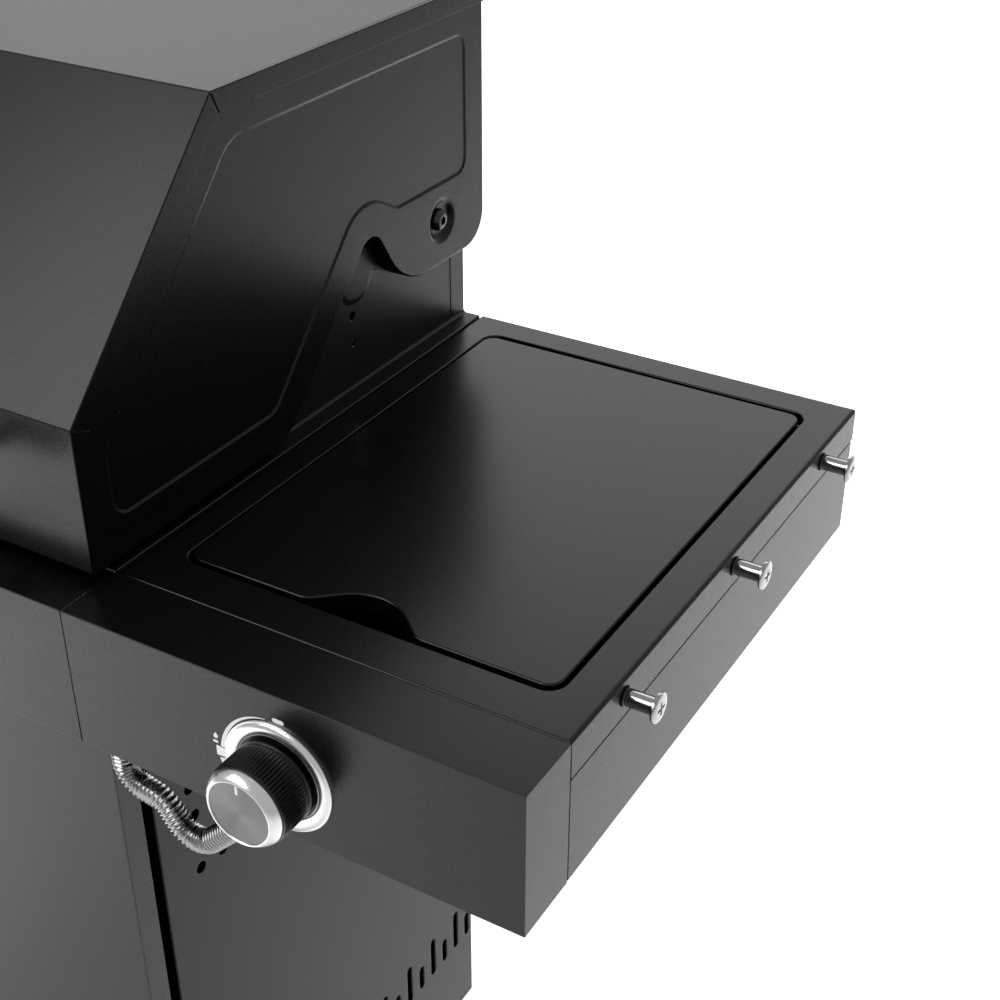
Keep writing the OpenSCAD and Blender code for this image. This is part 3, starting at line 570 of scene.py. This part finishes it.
def hood_end(side):
    """Pressed end plate with its sunk panel, the dish round the hinge bolt and the notch."""
    tag = side_name(side)
    under = beside(HOOD_LINE, SHEET + 0.1)
    low = 5.0
    plate = [(under[1].x, under[1].y, 0), (under[1].x, low, 3), (224.9, low, 40),
             (335.3, 125.1, 14), (373.3, 64.3, 55), (HOOD_BACK, 64.3, 26),
             (HOOD_BACK, under[2].y, 0), (under[2].x, under[2].y, 0)]
    panel = [(55, 31.3, 15), (214.6, 31.3, 20), (324.6, 149.6, 34), (367.7, 126, 20),
             (461.5, 126, 13), (461.5, 232.2, 12), (191.8, 232.2, 32), (55, 82.7, 20)]
    dish = [(18.6, 0), (17.6, -0.12), (16.4, -0.5), (14.8, -1.5), (13.2, -2.8), (11.8, -3.7),
            (10.4, -4.0), (8.6, -4.0), (5.2, -4.0)]
    features = [(step(panel, 2.6, -1.1), False),
                (round_step(*HINGE, dish), True)]
    made = pressed(f"hood_end_{tag}_plate", fold(plate, 1.6, 13.0), features,
                   on_end(PLATE_X, side), HOOD_SHADED_COAT, "hood")
    for_node(made, f"hood_end_{tag}")


def hood():
    """The skin, and a flanged plate at each end."""
    hood_skin()
    for side in (LEFT, RIGHT):
        hood_flanges(side)
        hood_end(side)


# ---------------------------------------------------------------- bolts and pegs

HOOK_FIRST = 111.8
HOOK_PITCH = 151.6
HOOK_DROP = 12.0


def hex_socket(size, deep, reach):
    """Shape for a lathe: sinks the middle of a head into a six-sided socket."""
    def shape(r, angle, h):
        sector = (angle + math.pi / 6) % (math.pi / 3) - math.pi / 6
        edge = size / math.cos(sector)
        if h < reach or r > size * 1.6:
            return r, h
        if r <= size * 0.999:
            return r * edge / size, h - deep
        return max(r, edge), h
    return shape


def hinge_bolt(side):
    """Button head with a six-sided socket, in the dish of the hood's end plate."""
    place = on_end(BOLT_SEAT, side)
    head = [(0.01, -9.0), (5.0, -9.0), (5.0, -0.1), (8.2, 0), (8.5, 0.5), (8.4, 1.4), (7.8, 2.5),
            (6.7, 3.6), (5.4, 4.3), (4.0, 4.55), (3.2, 4.55), (3.0, 4.5), (2.99, 4.4),
            (1.5, 4.4), (0.01, 4.4)]
    made = turned(f"hinge_bolt_{side_name(side)}", head, shifted(place, *HINGE), BLACK_BOLT,
                  "cart", steps=48, shape=hex_socket(3.0, 2.6, 4.3))


def cross_slot(half_width, reach, deep, start):
    """Shape for a lathe: a cross recess in the end face."""
    def shape(r, angle, h):
        if h < start:
            return r, h
        x, y = abs(r * math.cos(angle)), abs(r * math.sin(angle))
        inside = min(x, y) < half_width and max(x, y) < reach
        return r, h - deep * inside
    return shape


def pegs():
    """Chrome utensil pegs on both shelves' outer flanges, each with a dark collar."""
    collar = [(0.01, 0), (6.1, 0), (6.4, 0.3), (6.4, 1.0), (6.1, 1.3), (0.01, 1.3)]
    end = 22.0
    shaft = [(0.01, -3), (2.9, -3), (2.9, 0), (5.0, 0.4), (5.5, 2.4), (5.5, 17.0), (6.0, 18.6),
             (8.6, 18.9), (9.2, 19.3), (9.4, 20.2), (9.2, 21.0), (8.4, 21.5), (6.6, 21.9)]
    shaft += [(r, end) for r in (5.2, 4.7, 4.4, 4.3, 3.4, 2.6, 1.8, 1.2, 0.8, 0.01)]
    first = True
    for side in (LEFT, RIGHT):
        for i in range(3):
            tag = f"{side_name(side)}_{i + 1}"
            place = shifted(on_end(OUTER, side), HOOK_FIRST + i * HOOK_PITCH, -HOOK_DROP)
            ring = turned(f"peg_collar_{tag}", collar, place, KNOB_BLACK, "cart", steps=40)
            peg = turned(f"peg_{tag}", shaft, place, PEG_SHADED_CHROME, "cart", steps=72,
                         shape=cross_slot(0.85, 4.4, 2.0, end - 0.03))
            if first:
                for_node(peg, "tool_hooks")
                first = False


# ---------------------------------------------------------------- firebox sides

LEDGE_OUT = wall_high.x / MM
WALL_X = 320.0
BODY_DEPTH = wall_high.y / MM - FRONT
WALL_FRONT = 50.0
HOLE_DEPTH = 325.8
HOLE_HEIGHTS = (35.2, 55.9)


def firebox_side(side):
    """Side wall with a soft pressed boss behind the hood's notch and two small holes."""
    tag = side_name(side)
    wall = [(WALL_FRONT, -110, 0), (BODY_DEPTH, -110, 0), (BODY_DEPTH, 140, 10),
            (300, 140, 20), (70, 12, 20), (WALL_FRONT, 12, 0)]
    boss = [(301, 64.5, 17), (343, 64.5, 19), (352, 80, 8), (402, 80, 6), (402, 128, 10),
            (330, 128, 12)]
    features = [(step(boss, 5.0, 1.3), False),
                (round_step(*HINGE, [(5.3, 0), (5.3, -1.0)]), True)]
    hole = [(4.1, 0), (3.7, -0.15), (3.3, -0.5), (3.3, -1.4)]
    for height in HOLE_HEIGHTS:
        features.append((round_step(HOLE_DEPTH, height, hole, 24), True))
    rim = [(outline(wall), -0.3), (outline(wall, 0.3), 0.0)]
    made = pressed(f"firebox_wall_{tag}", rim, features, on_end(WALL_X, side), FIREBOX_COAT,
                   "cart")
    for_node(made, f"firebox_side_{tag}")
    lap = prism(f"firebox_lap_{tag}", outline(rectangle(457.5, 3, BODY_DEPTH - 0.3, 139, 2)),
                -0.4, 0.55, on_end(WALL_X, side), FIREBOX_COAT, "cart", edge=0.45)
    ledge(side, tag)


def ledge(side, tag):
    """Strip that turns out from the wall with a cove and folds down beside the shelf."""
    cove = 2.6
    bend = 1.2
    foot = WALL_X + 0.1
    profile = [Vector((foot, cove + 3))]
    for k in range(7):
        a = math.pi / 2 * k / 6
        profile.append(Vector((foot + cove * (1 - math.cos(a)), cove * (1 - math.sin(a)))))
    for k in range(6):
        a = math.pi / 2 * k / 5
        profile.append(Vector((LEDGE_OUT - bend * (1 - math.sin(a)), -bend * (1 - math.cos(a)))))
    profile.append(Vector((LEDGE_OUT, -25)))
    bm = bmesh.new()
    rows = [[bm.verts.new(Vector((side * p.x, FRONT + depth, SHELF + p.y)) * MM)
             for p in profile] for depth in (WALL_FRONT, BODY_DEPTH)]
    bridge(bm, rows, closed=False)
    face_outwards(bm, Vector((side * 0.2, 0, 1)))
    made = weighted(thicken(piece(f"firebox_ledge_{tag}", bm, FIREBOX_COAT, "cart")))


# ---------------------------------------------------------------- shelves and fascias

PAN_IN = pan_low.x / MM
PAN_FRONT = pan_low.y / MM - FRONT
PAN_BACK = pan_high.y / MM - FRONT
PAN_DROP = SHELF - pan_low.z / MM
PAN_FOLD = 3.4                      # bend radius of the pans' outer folds
FRONT_FOLD = 0.36                   # share of it that the front fold keeps
BAY_RIGHT = OUTER - 26.4
BAY_FRONT = 79.7
BAY_WIDTH = 266
BAY_LENGTH = 373
BAY_LIP = 1.3
BAY = rectangle(BAY_RIGHT - BAY_WIDTH, BAY_FRONT, BAY_RIGHT, BAY_FRONT + BAY_LENGTH, 12)


def tighten_front(made):
    """The pan's front fold is tighter than the fold down its outer side."""
    reach = PAN_FOLD + 0.1
    for v in made.data.vertices:
        depth = v.co.y / MM - FRONT - PAN_FRONT
        height = v.co.z / MM - SHELF
        if depth < reach and height > -reach:
            v.co.y = (FRONT + PAN_FRONT + depth * FRONT_FOLD) * MM
            v.co.z = (SHELF + height * FRONT_FOLD) * MM


def shelf(side):
    """Shelf pan with softly folded edges; the right one is open over the side burner."""
    tag = side_name(side)
    pan = rectangle(PAN_IN, PAN_FRONT, OUTER, PAN_BACK, 0.9)
    features = []
    if side == RIGHT:
        lip = []
        for k in range(6):
            a = math.pi / 2 * k / 5
            lip.append((outline(BAY, BAY_LIP * (math.sin(a) - 1)),
                        -BAY_LIP * (1 - math.cos(a))))
        lip.append((outline(BAY), -9.0))
        features.append((lip, True))
    made = pressed(f"shelf_pan_{tag}", fold(pan, PAN_FOLD, PAN_DROP, 6), features,
                   on_top(0, side), COAT, "cart")
    tighten_front(made)
    for_node(made, f"side_shelf_{tag}")


LID_TOP = lid_high.z / MM - SHELF
LID_LEFT = lid_low.x / MM
LID_RIGHT = lid_high.x / MM
LID_FRONT = lid_low.y / MM - FRONT
LID_BACK = lid_high.y / MM - FRONT
NOTCH_HALF = 39
NOTCH_DEEP = 34


def burner_lid():
    """Flush lid of the side burner with a finger notch and a turned-down rim."""
    shape = [(LID_LEFT, LID_FRONT, 10), (BURNER_X - NOTCH_HALF, LID_FRONT, 14),
             (BURNER_X, LID_FRONT + NOTCH_DEEP, 34), (BURNER_X + NOTCH_HALF, LID_FRONT, 14),
             (LID_RIGHT, LID_FRONT, 10), (LID_RIGHT, LID_BACK, 10), (LID_LEFT, LID_BACK, 10)]
    made = pressed("side_burner_lid_sheet", fold(shape, 1.3, 12.0, 6), [], on_top(LID_TOP),
                   COAT, "side_lid")
    for_node(made, "side_burner_lid")


FASCIA_HEIGHT = SHELF - fascia_low.z / MM


def face_fold(x, depth, height, e):
    """Edges along X where the fascia's face folds into its top and bottom bands."""
    along = abs((e.verts[0].co - e.verts[1].co).normalized().x) > 0.99
    near = 1.6
    return along and depth < near and (height > -near or height < near - FASCIA_HEIGHT)


def fascias():
    """The three folded pieces across the front."""
    for node in ("side_fascia_left", "side_fascia_right", "control_panel"):
        rounded_copy(node, COAT, 0.35, [(0.7, face_fold)])


def rails():
    """Flat panels under both shelf pans' outer and rear flanges."""
    rounded_copy("shelf_side_rails", COAT, 0.5)


# ---------------------------------------------------------------- knobs

RIBS = 72
DISC_R = 20.65
MARK_R = 38.4                       # inner edge of the print round a bezel
PRINT_LOW = -0.1
PRINT_HIGH = 0.06


def bezel(index, x):
    """Dished chrome ring with a fine double rim, and a thin black disc behind the knob: painted
    shade in the gap round the knob.
    """
    ring = [(27.8, -0.5), (27.8, 0.9), (28.0, 1.6), (28.5, 2.15), (29.2, 2.6), (30.0, 2.95),
            (30.8, 3.2), (31.7, 3.33), (32.6, 3.35), (33.5, 3.25), (34.3, 3.0), (35.0, 2.7),
            (35.7, 2.3), (36.2, 1.85), (36.45, 1.5), (36.65, 1.5), (36.8, 1.75), (37.1, 1.8),
            (37.4, 1.55), (37.5, 1.1), (37.5, -0.5), (27.8, -0.5)]
    place = shifted(on_front(), x, -KNOB_DROP)
    made = turned(f"bezel_{index}", ring, place, CHROME, "cart", steps=128, smooth=60)
    # Painted shade: a thin black disc in the gap behind the knob, where shade falls.
    shade_profile = [(0.01, 0.05), (27.85, 0.05), (27.85, 0.35), (0.01, 0.35)]
    dark = turned(f"bezel_shade_disc_{index}", shade_profile, place, KNOB_BLACK, "cart", steps=64)
    return made


def ribbed(count, depth, low, high):
    """Shape for a lathe: rounded ribs along the grip between two heights."""
    def shape(r, angle, h):
        if not low <= h <= high or r < 20:
            return r, h
        fade = min(1.0, (h - low) / 1.2, (high - h) / 1.2)
        return r - depth * fade * (0.5 - 0.5 * math.cos(count * angle)) ** 1.5, h
    return shape


def knob(tag, x):
    """Ribbed black grip, chamfered chrome ring, spun disc and a short white pointer."""
    node = f"knob_{tag}"
    body = BODY[node]
    place = shifted(on_front(), x, -KNOB_DROP)
    grip = [(0.01, 4.4), (25.6, 4.4), (26.6, 4.6), (27.0, 5.2), (27.0, 8.2), (26.7, 8.8),
            (26.75, 9.4), (26.9, 10.4), (26.9, 18.0), (26.8, 25.0), (26.7, 28.0), (26.5, 29.4),
            (26.2, 30.4), (25.8, 31.0), (24.6, 31.3), (0.01, 31.3)]
    made = turned(f"{node}_grip", grip, place, KNOB_BLACK, body, steps=RIBS * 6,
                  shape=ribbed(RIBS, 0.85, 9.4, 29.4), smooth=55)
    for_node(made, node)
    ring = [(20.6, 30.0), (25.4, 30.0), (25.8, 30.7), (25.7, 31.6), (24.9, 33.2), (23.7, 35.2),
            (22.5, 36.5), (21.6, 37.0), (21.0, 36.9), (20.6, 36.5), (20.6, 30.0)]
    turned(f"{node}_ring", ring, place, CHROME, body, steps=128)
    disc = [(0.01, 33.0), (DISC_R, 33.0), (DISC_R, 36.0), (20.4, 36.25), (19.8, 36.25),
            (14, 36.15), (7, 36.05), (0.01, 36.0)]
    made = turned(f"{node}_disc", disc, place, SPUN, body, steps=128)
    spin_map(made, x)
    pointer = outline(rectangle(-0.9, 13.4, 0.9, 19.7, 0.85))
    made = prism(f"{node}_pointer", pointer, 35.9, 36.4, place, PRINT, body, edge=0.1)


def spin_map(made, x):
    """Map of radius and angle round the knob's axis, which the spun finish follows."""
    mesh = made.data
    layer = mesh.uv_layers.new(name="spin")
    for face in mesh.polygons:
        middle = math.atan2(face.center.z / MM - SHELF + KNOB_DROP, face.center.x / MM - x)
        for i in face.loop_indices:
            co = mesh.vertices[mesh.loops[i].vertex_index].co / MM
            u, v = co.x - x, co.z - SHELF + KNOB_DROP
            turn = math.atan2(v, u) - middle
            turn = (turn + math.pi) % (2 * math.pi) - math.pi
            layer.data[i].uv = (math.hypot(u, v) / DISC_R, (middle + turn) / (2 * math.pi))


def spin(material):
    """Turns a metal finish into one brushed in circles."""
    nodes, links = material.node_tree.nodes, material.node_tree.links
    tangent = nodes.new("ShaderNodeTangent")
    tangent.direction_type = "UV_MAP"
    tangent.uv_map = "spin"
    shader = nodes["Principled BSDF"]
    links.new(tangent.outputs["Tangent"], shader.inputs["Tangent"])
    shader.inputs["Anisotropic"].default_value = 0.9


spin(SPUN)


def crescent(start, end, thin, thick, steps):
    """Outline of a band round the bezel that widens from its start to its end angle."""
    near, far = [], []
    for k in range(steps + 1):
        t = k / steps
        a = math.radians(start + (end - start) * t)
        ways = Vector((math.cos(a), math.sin(a)))
        near.append(ways * MARK_R)
        far.append(ways * (MARK_R + thin + (thick - thin) * t ** 0.8))
    return far + near[::-1]


def flame_outline():
    """Small flame with a curled tip."""
    points = [(0, -2.0), (1.2, -1.5), (1.7, -0.3), (1.3, 0.9), (0.5, 1.7), (0.3, 2.6),
              (-0.4, 1.8), (-0.6, 1.0), (-1.0, 1.3), (-1.5, 0.2), (-1.5, -1.0), (-0.9, -1.8)]
    return [Vector(p) for p in points]


def mark(name, points, place):
    """One printed mark on the fascia."""
    made = prism(name, points, PRINT_LOW, PRINT_HIGH, place, PRINT, "cart")


def knob_marks(index, x):
    """White print round a bezel: a crescent, a blank pill, a flame and two blocks."""
    place = shifted(on_front(), x, -KNOB_DROP)
    shapes = {"crescent": crescent(99, 174, 0.3, 3.0, 36),
              "block_a": crescent(175.2, 184.4, 6.2, 6.4, 8),
              "block_b": crescent(186.2, 193, 4.6, 4.0, 8)}
    for name, points in shapes.items():
        mark(f"mark_{name}_{index}", points, place)
    small = {"flame": (166.5, 45.6, flame_outline()),
             "spark": (172.0, 45.2, outline(rectangle(-1.9, -0.9, 1.9, 0.9, 0.85))),
             "pill": (86, 40.3, outline(rectangle(-4, -1.5, 4, 1.5, 1.45)))}
    for name, (angle, away, points) in small.items():
        a = math.radians(angle)
        spot = shifted(place, away * math.cos(a), away * math.sin(a))
        mark(f"mark_{name}_{index}", points, spot)


def knobs():
    """Four knobs with their bezels and marks; the first bezel stands for the bezels' node."""
    for tag, x in zip(("1", "2", "3", "side"), KNOB_X + [BURNER_X]):
        made = bezel(tag, x)
        if tag == "1":
            for_node(made, "knob_bezels")
        knob(tag, x)
        knob_marks(tag, x)


# ---------------------------------------------------------------- gas pipe

PIPE_DEPTH = 30.0
PIPE_TURNS = [(337.5, -88, 0), (337.5, -150, 18), (368, -155, 20), (391, -187, 18),
              (457.5, -120, 20), (491.5, -100, 20), (491.5, -74.5, 0)]


def pipe_line(spacing):
    """Evenly spaced points along the pipe's middle, as (x, height)."""
    rough = [Vector(PIPE_TURNS[0][:2])]
    for i in range(1, len(PIPE_TURNS) - 1):
        a, b, c = (Vector(PIPE_TURNS[k][:2]) for k in (i - 1, i, i + 1))
        rough += arc_corner(a, b, c, PIPE_TURNS[i][2], 16)
    rough.append(Vector(PIPE_TURNS[-1][:2]))
    lengths = [0.0]
    for a, b in zip(rough, rough[1:]):
        lengths.append(lengths[-1] + (b - a).length)
    count = round(lengths[-1] / spacing)
    points, k = [], 0
    for i in range(count + 1):
        s = lengths[-1] * i / count
        while k < len(rough) - 2 and lengths[k + 1] < s:
            k += 1
        span = lengths[k + 1] - lengths[k]
        points.append(rough[k].lerp(rough[k + 1], (s - lengths[k]) / span if span else 0))
    return points


def gas_pipe():
    """Corrugated flexible pipe with plain ends under its two nuts."""
    sides, radius = 28, 8.5
    wave, ridge = 6, 1.7
    plain_rings = 14
    points = pipe_line(0.52)
    bm = bmesh.new()
    rings = []
    for i, point in enumerate(points):
        along = (points[min(i + 1, len(points) - 1)] - points[max(i - 1, 0)]).normalized()
        across = Vector((-along.y, along.x))
        plain = i < plain_rings or i >= len(points) - plain_rings
        phase = 2 * math.pi * (i % wave) / wave
        r = radius - (ridge * 0.5 if plain else ridge * (0.5 - 0.5 * math.cos(phase)))
        ring = []
        for k in range(sides):
            a = 2 * math.pi * k / sides
            side = point + across * (r * math.cos(a))
            ring.append(bm.verts.new(
                Vector((side.x, FRONT + PIPE_DEPTH + r * math.sin(a), SHELF + side.y)) * MM))
        rings.append(ring)
    bridge(bm, rings)
    bm.faces.new(rings[0])
    bm.faces.new(rings[-1])
    bmesh.ops.recalc_face_normals(bm, faces=bm.faces)
    for_node(piece("gas_pipe", bm, PIPE_STEEL, "cart", smooth=80), "gas_hose")


# ---------------------------------------------------------------- thermometer

def thermometer():
    """Chrome case with a rolled rim and a long stem, and a white dial."""
    slant = math.degrees(math.atan2(HOOD_TOP - HOOD_BREAK, HOOD_FOLD - HOOD_FRONT))
    place = on_slant(0, (HOOD_FRONT + HOOD_FOLD) / 2, (HOOD_BREAK + HOOD_TOP) / 2, slant)
    case = [(34.0, 3.1), (34.0, 9.5), (34.6, 11.4), (35.6, 12.0), (36.8, 11.6), (37.6, 10.4),
            (38.0, 8.6), (38.0, 1.0), (37.4, 0.1), (4, 0.1), (4, -55), (2, -58), (0.01, -58),
            (0.01, 3.1), (34.0, 3.1)]
    made = turned("thermometer_case", case, place, CHROME, "hood", steps=96)
    for_node(made, "thermometer")
    dial = [(1.7, 3.05), (34.0, 3.05), (34.0, 3.5), (1.7, 3.5), (1.7, 3.05)]
    turned("thermometer_dial", dial, place, DIAL, "hood", steps=96)
    graduations(place)


def graduations(place):
    """Thirty steps over the needle's 270 degrees, every fifth one longer and bolder."""
    for i in range(31):
        a = math.radians(225 - 9 * i)
        inner, half = (24.5, 0.45) if i % 5 == 0 else (27.5, 0.2)
        points = [Vector((p.x * math.cos(a) - p.y * math.sin(a),
                          p.x * math.sin(a) + p.y * math.cos(a)))
                  for p in outline(rectangle(inner, -half, 31, half))]
        prism(f"dial_mark_{i}", points, 3.45, 3.56, place, INK, "hood")


# ---------------------------------------------------------------- casters

def wheel(tag):
    """Tyre with a ribbed tread round a plain hub."""
    low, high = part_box(f"caster_wheel_{tag}")
    radius = (high.z - low.z) / 2 / MM
    half = (high.x - low.x) / 2 / MM
    place = on_axle((low + high) / 2 / MM)
    tread = [(24.0, -half + 1.5), (27.0, -half + 0.2), (33.0, -half), (radius - 1.2, -half + 1.4),
             (radius, -half + 4.5), (radius, -3.2), (radius - 0.9, -2.6), (radius - 0.9, -1.4),
             (radius, -0.8), (radius, 0.8), (radius - 0.9, 1.4), (radius - 0.9, 2.6),
             (radius, 3.2), (radius, half - 4.5), (radius - 1.2, half - 1.4), (33.0, half),
             (27.0, half - 0.2), (24.0, half - 1.5), (24.0, -half + 1.5)]
    made = turned(f"tyre_{tag}", tread, place, RUBBER, f"wheel_{tag}", steps=96)
    for_node(made, f"caster_wheel_{tag}")
    hub = [(4.1, -half), (8.0, -half), (8.6, -half + 0.6), (9.0, -half + 3.5), (20.5, -half + 5),
           (21.5, -half + 1.8), (22.5, -half + 1.2), (24.05, -half + 1.6), (24.05, half - 1.6),
           (22.5, half - 1.2), (21.5, half - 1.8), (20.5, half - 5), (9.0, half - 3.5),
           (8.6, half - 0.6), (8.0, half), (4.1, half), (4.1, -half)]
    turned(f"hub_{tag}", hub, place, HUB, f"wheel_{tag}", steps=64)


# ---------------------------------------------------------------- everything else

PLAIN = {"base_shelf": 0.5, "back_panel": 0.3, "front_frame": 0.6, "caster_plates": 0.5,
         "firebox_body": 0.3, "gas_manifold": 0.5, "main_valves": 0.5, "side_burner_valve": 0.5,
         "side_burner_bowl": 0.4, "side_burner_head": 0.6, "side_burner_grate": 0.9,
         "main_burners": 0.4, "flame_tamers": 0.3, "warming_rack": 0.4, "thermometer_needle": 0.15,
         "cooking_grate_left": 0.9, "cooking_grate_right": 0.9, "grease_tray": 0.6,
         "caster_fork_fl": 0.5, "caster_fork_fr": 0.5, "caster_fork_rl": 0.5,
         "caster_fork_rr": 0.5, "brake_pedal_left": 0.6, "brake_pedal_right": 0.6,
         "valve_stem_1": 0.3, "valve_stem_2": 0.3, "valve_stem_3": 0.3, "valve_stem_side": 0.3}


def upright_corner(x, depth, height, e):
    """Upright edges on the cabinet's outer faces."""
    upright = abs((e.verts[0].co - e.verts[1].co).normalized().z) > 0.99
    return upright and abs(x) > WALL_X - 0.1


def plain_nodes():
    """Pieces that keep their CAD shape, with broken edges and a finish of their own."""
    for node, width in PLAIN.items():
        rounded_copy(node, BY_SLOT[SLOT[node]], width)
    for tag in ("left", "right"):
        # The side panels take the shaded copy of the black coat: painted shade.
        rounded_copy(f"side_panel_{tag}", CABINET_SHADED_COAT, 0.35, [(1.4, upright_corner)])
        rounded_copy(f"door_{tag}", COAT, 1.0)
        rounded_copy(f"door_handle_{tag}", UPRIGHT_STAINLESS, 1.0)
    rounded_copy("hood_handle", STAINLESS, 1.5)
    bolts()
    for tag in ("fl", "fr", "rl", "rr"):
        wheel(tag)


def bolts():
    """Pins of the doors and the lid as they are, with finer bolts in the hood's dishes."""
    bm = cad_mesh("hinge_bolts")
    outside = (WALL_X + 9.9) * MM
    heads = [v for v in bm.verts if abs(v.co.x) > outside and v.co.z > SHELF * MM]
    bmesh.ops.delete(bm, geom=heads, context="VERTS")
    bmesh.ops.holes_fill(bm, edges=bm.edges, sides=0)
    round_edges(bm, 0.3)
    for_node(weighted(piece("hinge_pins", bm, BLACK_BOLT, "cart")), "hinge_bolts")
    for side in (LEFT, RIGHT):
        hinge_bolt(side)


# ---------------------------------------------------------------- studio

def soft_light(name, location, target, size, radiance, seen):
    """Rectangular soft box; one that isn't seen lights matt surfaces only."""
    data = bpy.data.lights.new(name, "AREA")
    data.shape = "RECTANGLE"
    data.size, data.size_y = size
    data.energy = radiance * math.pi * size[0] * size[1]
    lamp = bpy.data.objects.new(name, data)
    bpy.context.scene.collection.objects.link(lamp)
    lamp.location = location
    lamp.rotation_euler = (Vector(target) - Vector(location)).to_track_quat("-Z", "Y").to_euler()
    lamp.visible_glossy = seen


def sky():
    """White surroundings: dim at the horizon, brightest a third of the way up."""
    world = bpy.data.worlds.new("studio")
    bpy.context.scene.world = world
    world.use_nodes = True
    nodes, links = world.node_tree.nodes, world.node_tree.links
    place = nodes.new("ShaderNodeTexCoord")
    parts = nodes.new("ShaderNodeSeparateXYZ")
    links.new(place.outputs["Generated"], parts.inputs["Vector"])
    levels = nodes.new("ShaderNodeValToRGB")
    ramp = levels.color_ramp
    for position, value in ((0.0, 0.4), (0.12, 0.5), (0.28, 0.8), (0.62, 1.1), (0.85, 0.5),
                            (1.0, 0.4)):
        stop = ramp.elements.new(position) if 0 < position < 1 else ramp.elements[round(position)]
        stop.position = position
        stop.color = (value, value, value, 1)
    links.new(parts.outputs["Z"], levels.inputs["Fac"])
    back = nodes["Background"]
    links.new(levels.outputs["Color"], back.inputs["Color"])
    back.inputs["Strength"].default_value = 1.1


def studio():
    """Pale floor, soft boxes and the sky."""
    scene = bpy.context.scene
    sky()
    bm = bmesh.new()
    bmesh.ops.create_grid(bm, x_segments=8, y_segments=8, size=14)
    mesh = bpy.data.meshes.new("floor")
    bm.to_mesh(mesh)
    bm.free()
    floor = bpy.data.objects.new("floor", mesh)
    scene.collection.objects.link(floor)
    mesh.materials.append(FLOOR)
    soft_light("key", (-0.9, -2.0, 2.8), (0.4, 0, 0.9), (2.4, 1.4), 4.0, True)
    soft_light("rear_box", (-0.8, 2.7, 2.6), (0.5, 0, 0.9), (3.6, 1.7), 1.12, True)
    soft_light("backdrop", (-0.4, 2.0, 3.0), (-0.4, 2.0, 0), (3.2, 3.2), 5.6, False)
    soft_light("backdrop_far", (-1.6, 4.2, 3.0), (-1.6, 4.2, 0), (3.2, 3.2), 5.0, False)
    soft_light("front_pool", (-1.4, -1.3, 1.5), (-1.4, -1.3, 0), (1.2, 1.2), 10.0, False)
    scene.view_settings.view_transform = "Standard"


def camera():
    """Looks down on the right shelf from in front of it."""
    data = bpy.data.cameras.new("camera")
    data.lens = 57.65
    data.sensor_width = 36
    data.clip_end = 60
    shot = bpy.data.objects.new("camera", data)
    shot.location = (0.95069, -0.75656, 1.43762)
    shot.rotation_euler = (math.radians(58.54), 0, math.radians(30.62))
    bpy.context.scene.collection.objects.link(shot)
    bpy.context.scene.camera = shot


camera()
studio()
hood()
pegs()
for which in (LEFT, RIGHT):
    firebox_side(which)
    shelf(which)
burner_lid()
fascias()
rails()
knobs()
gas_pipe()
thermometer()
plain_nodes()
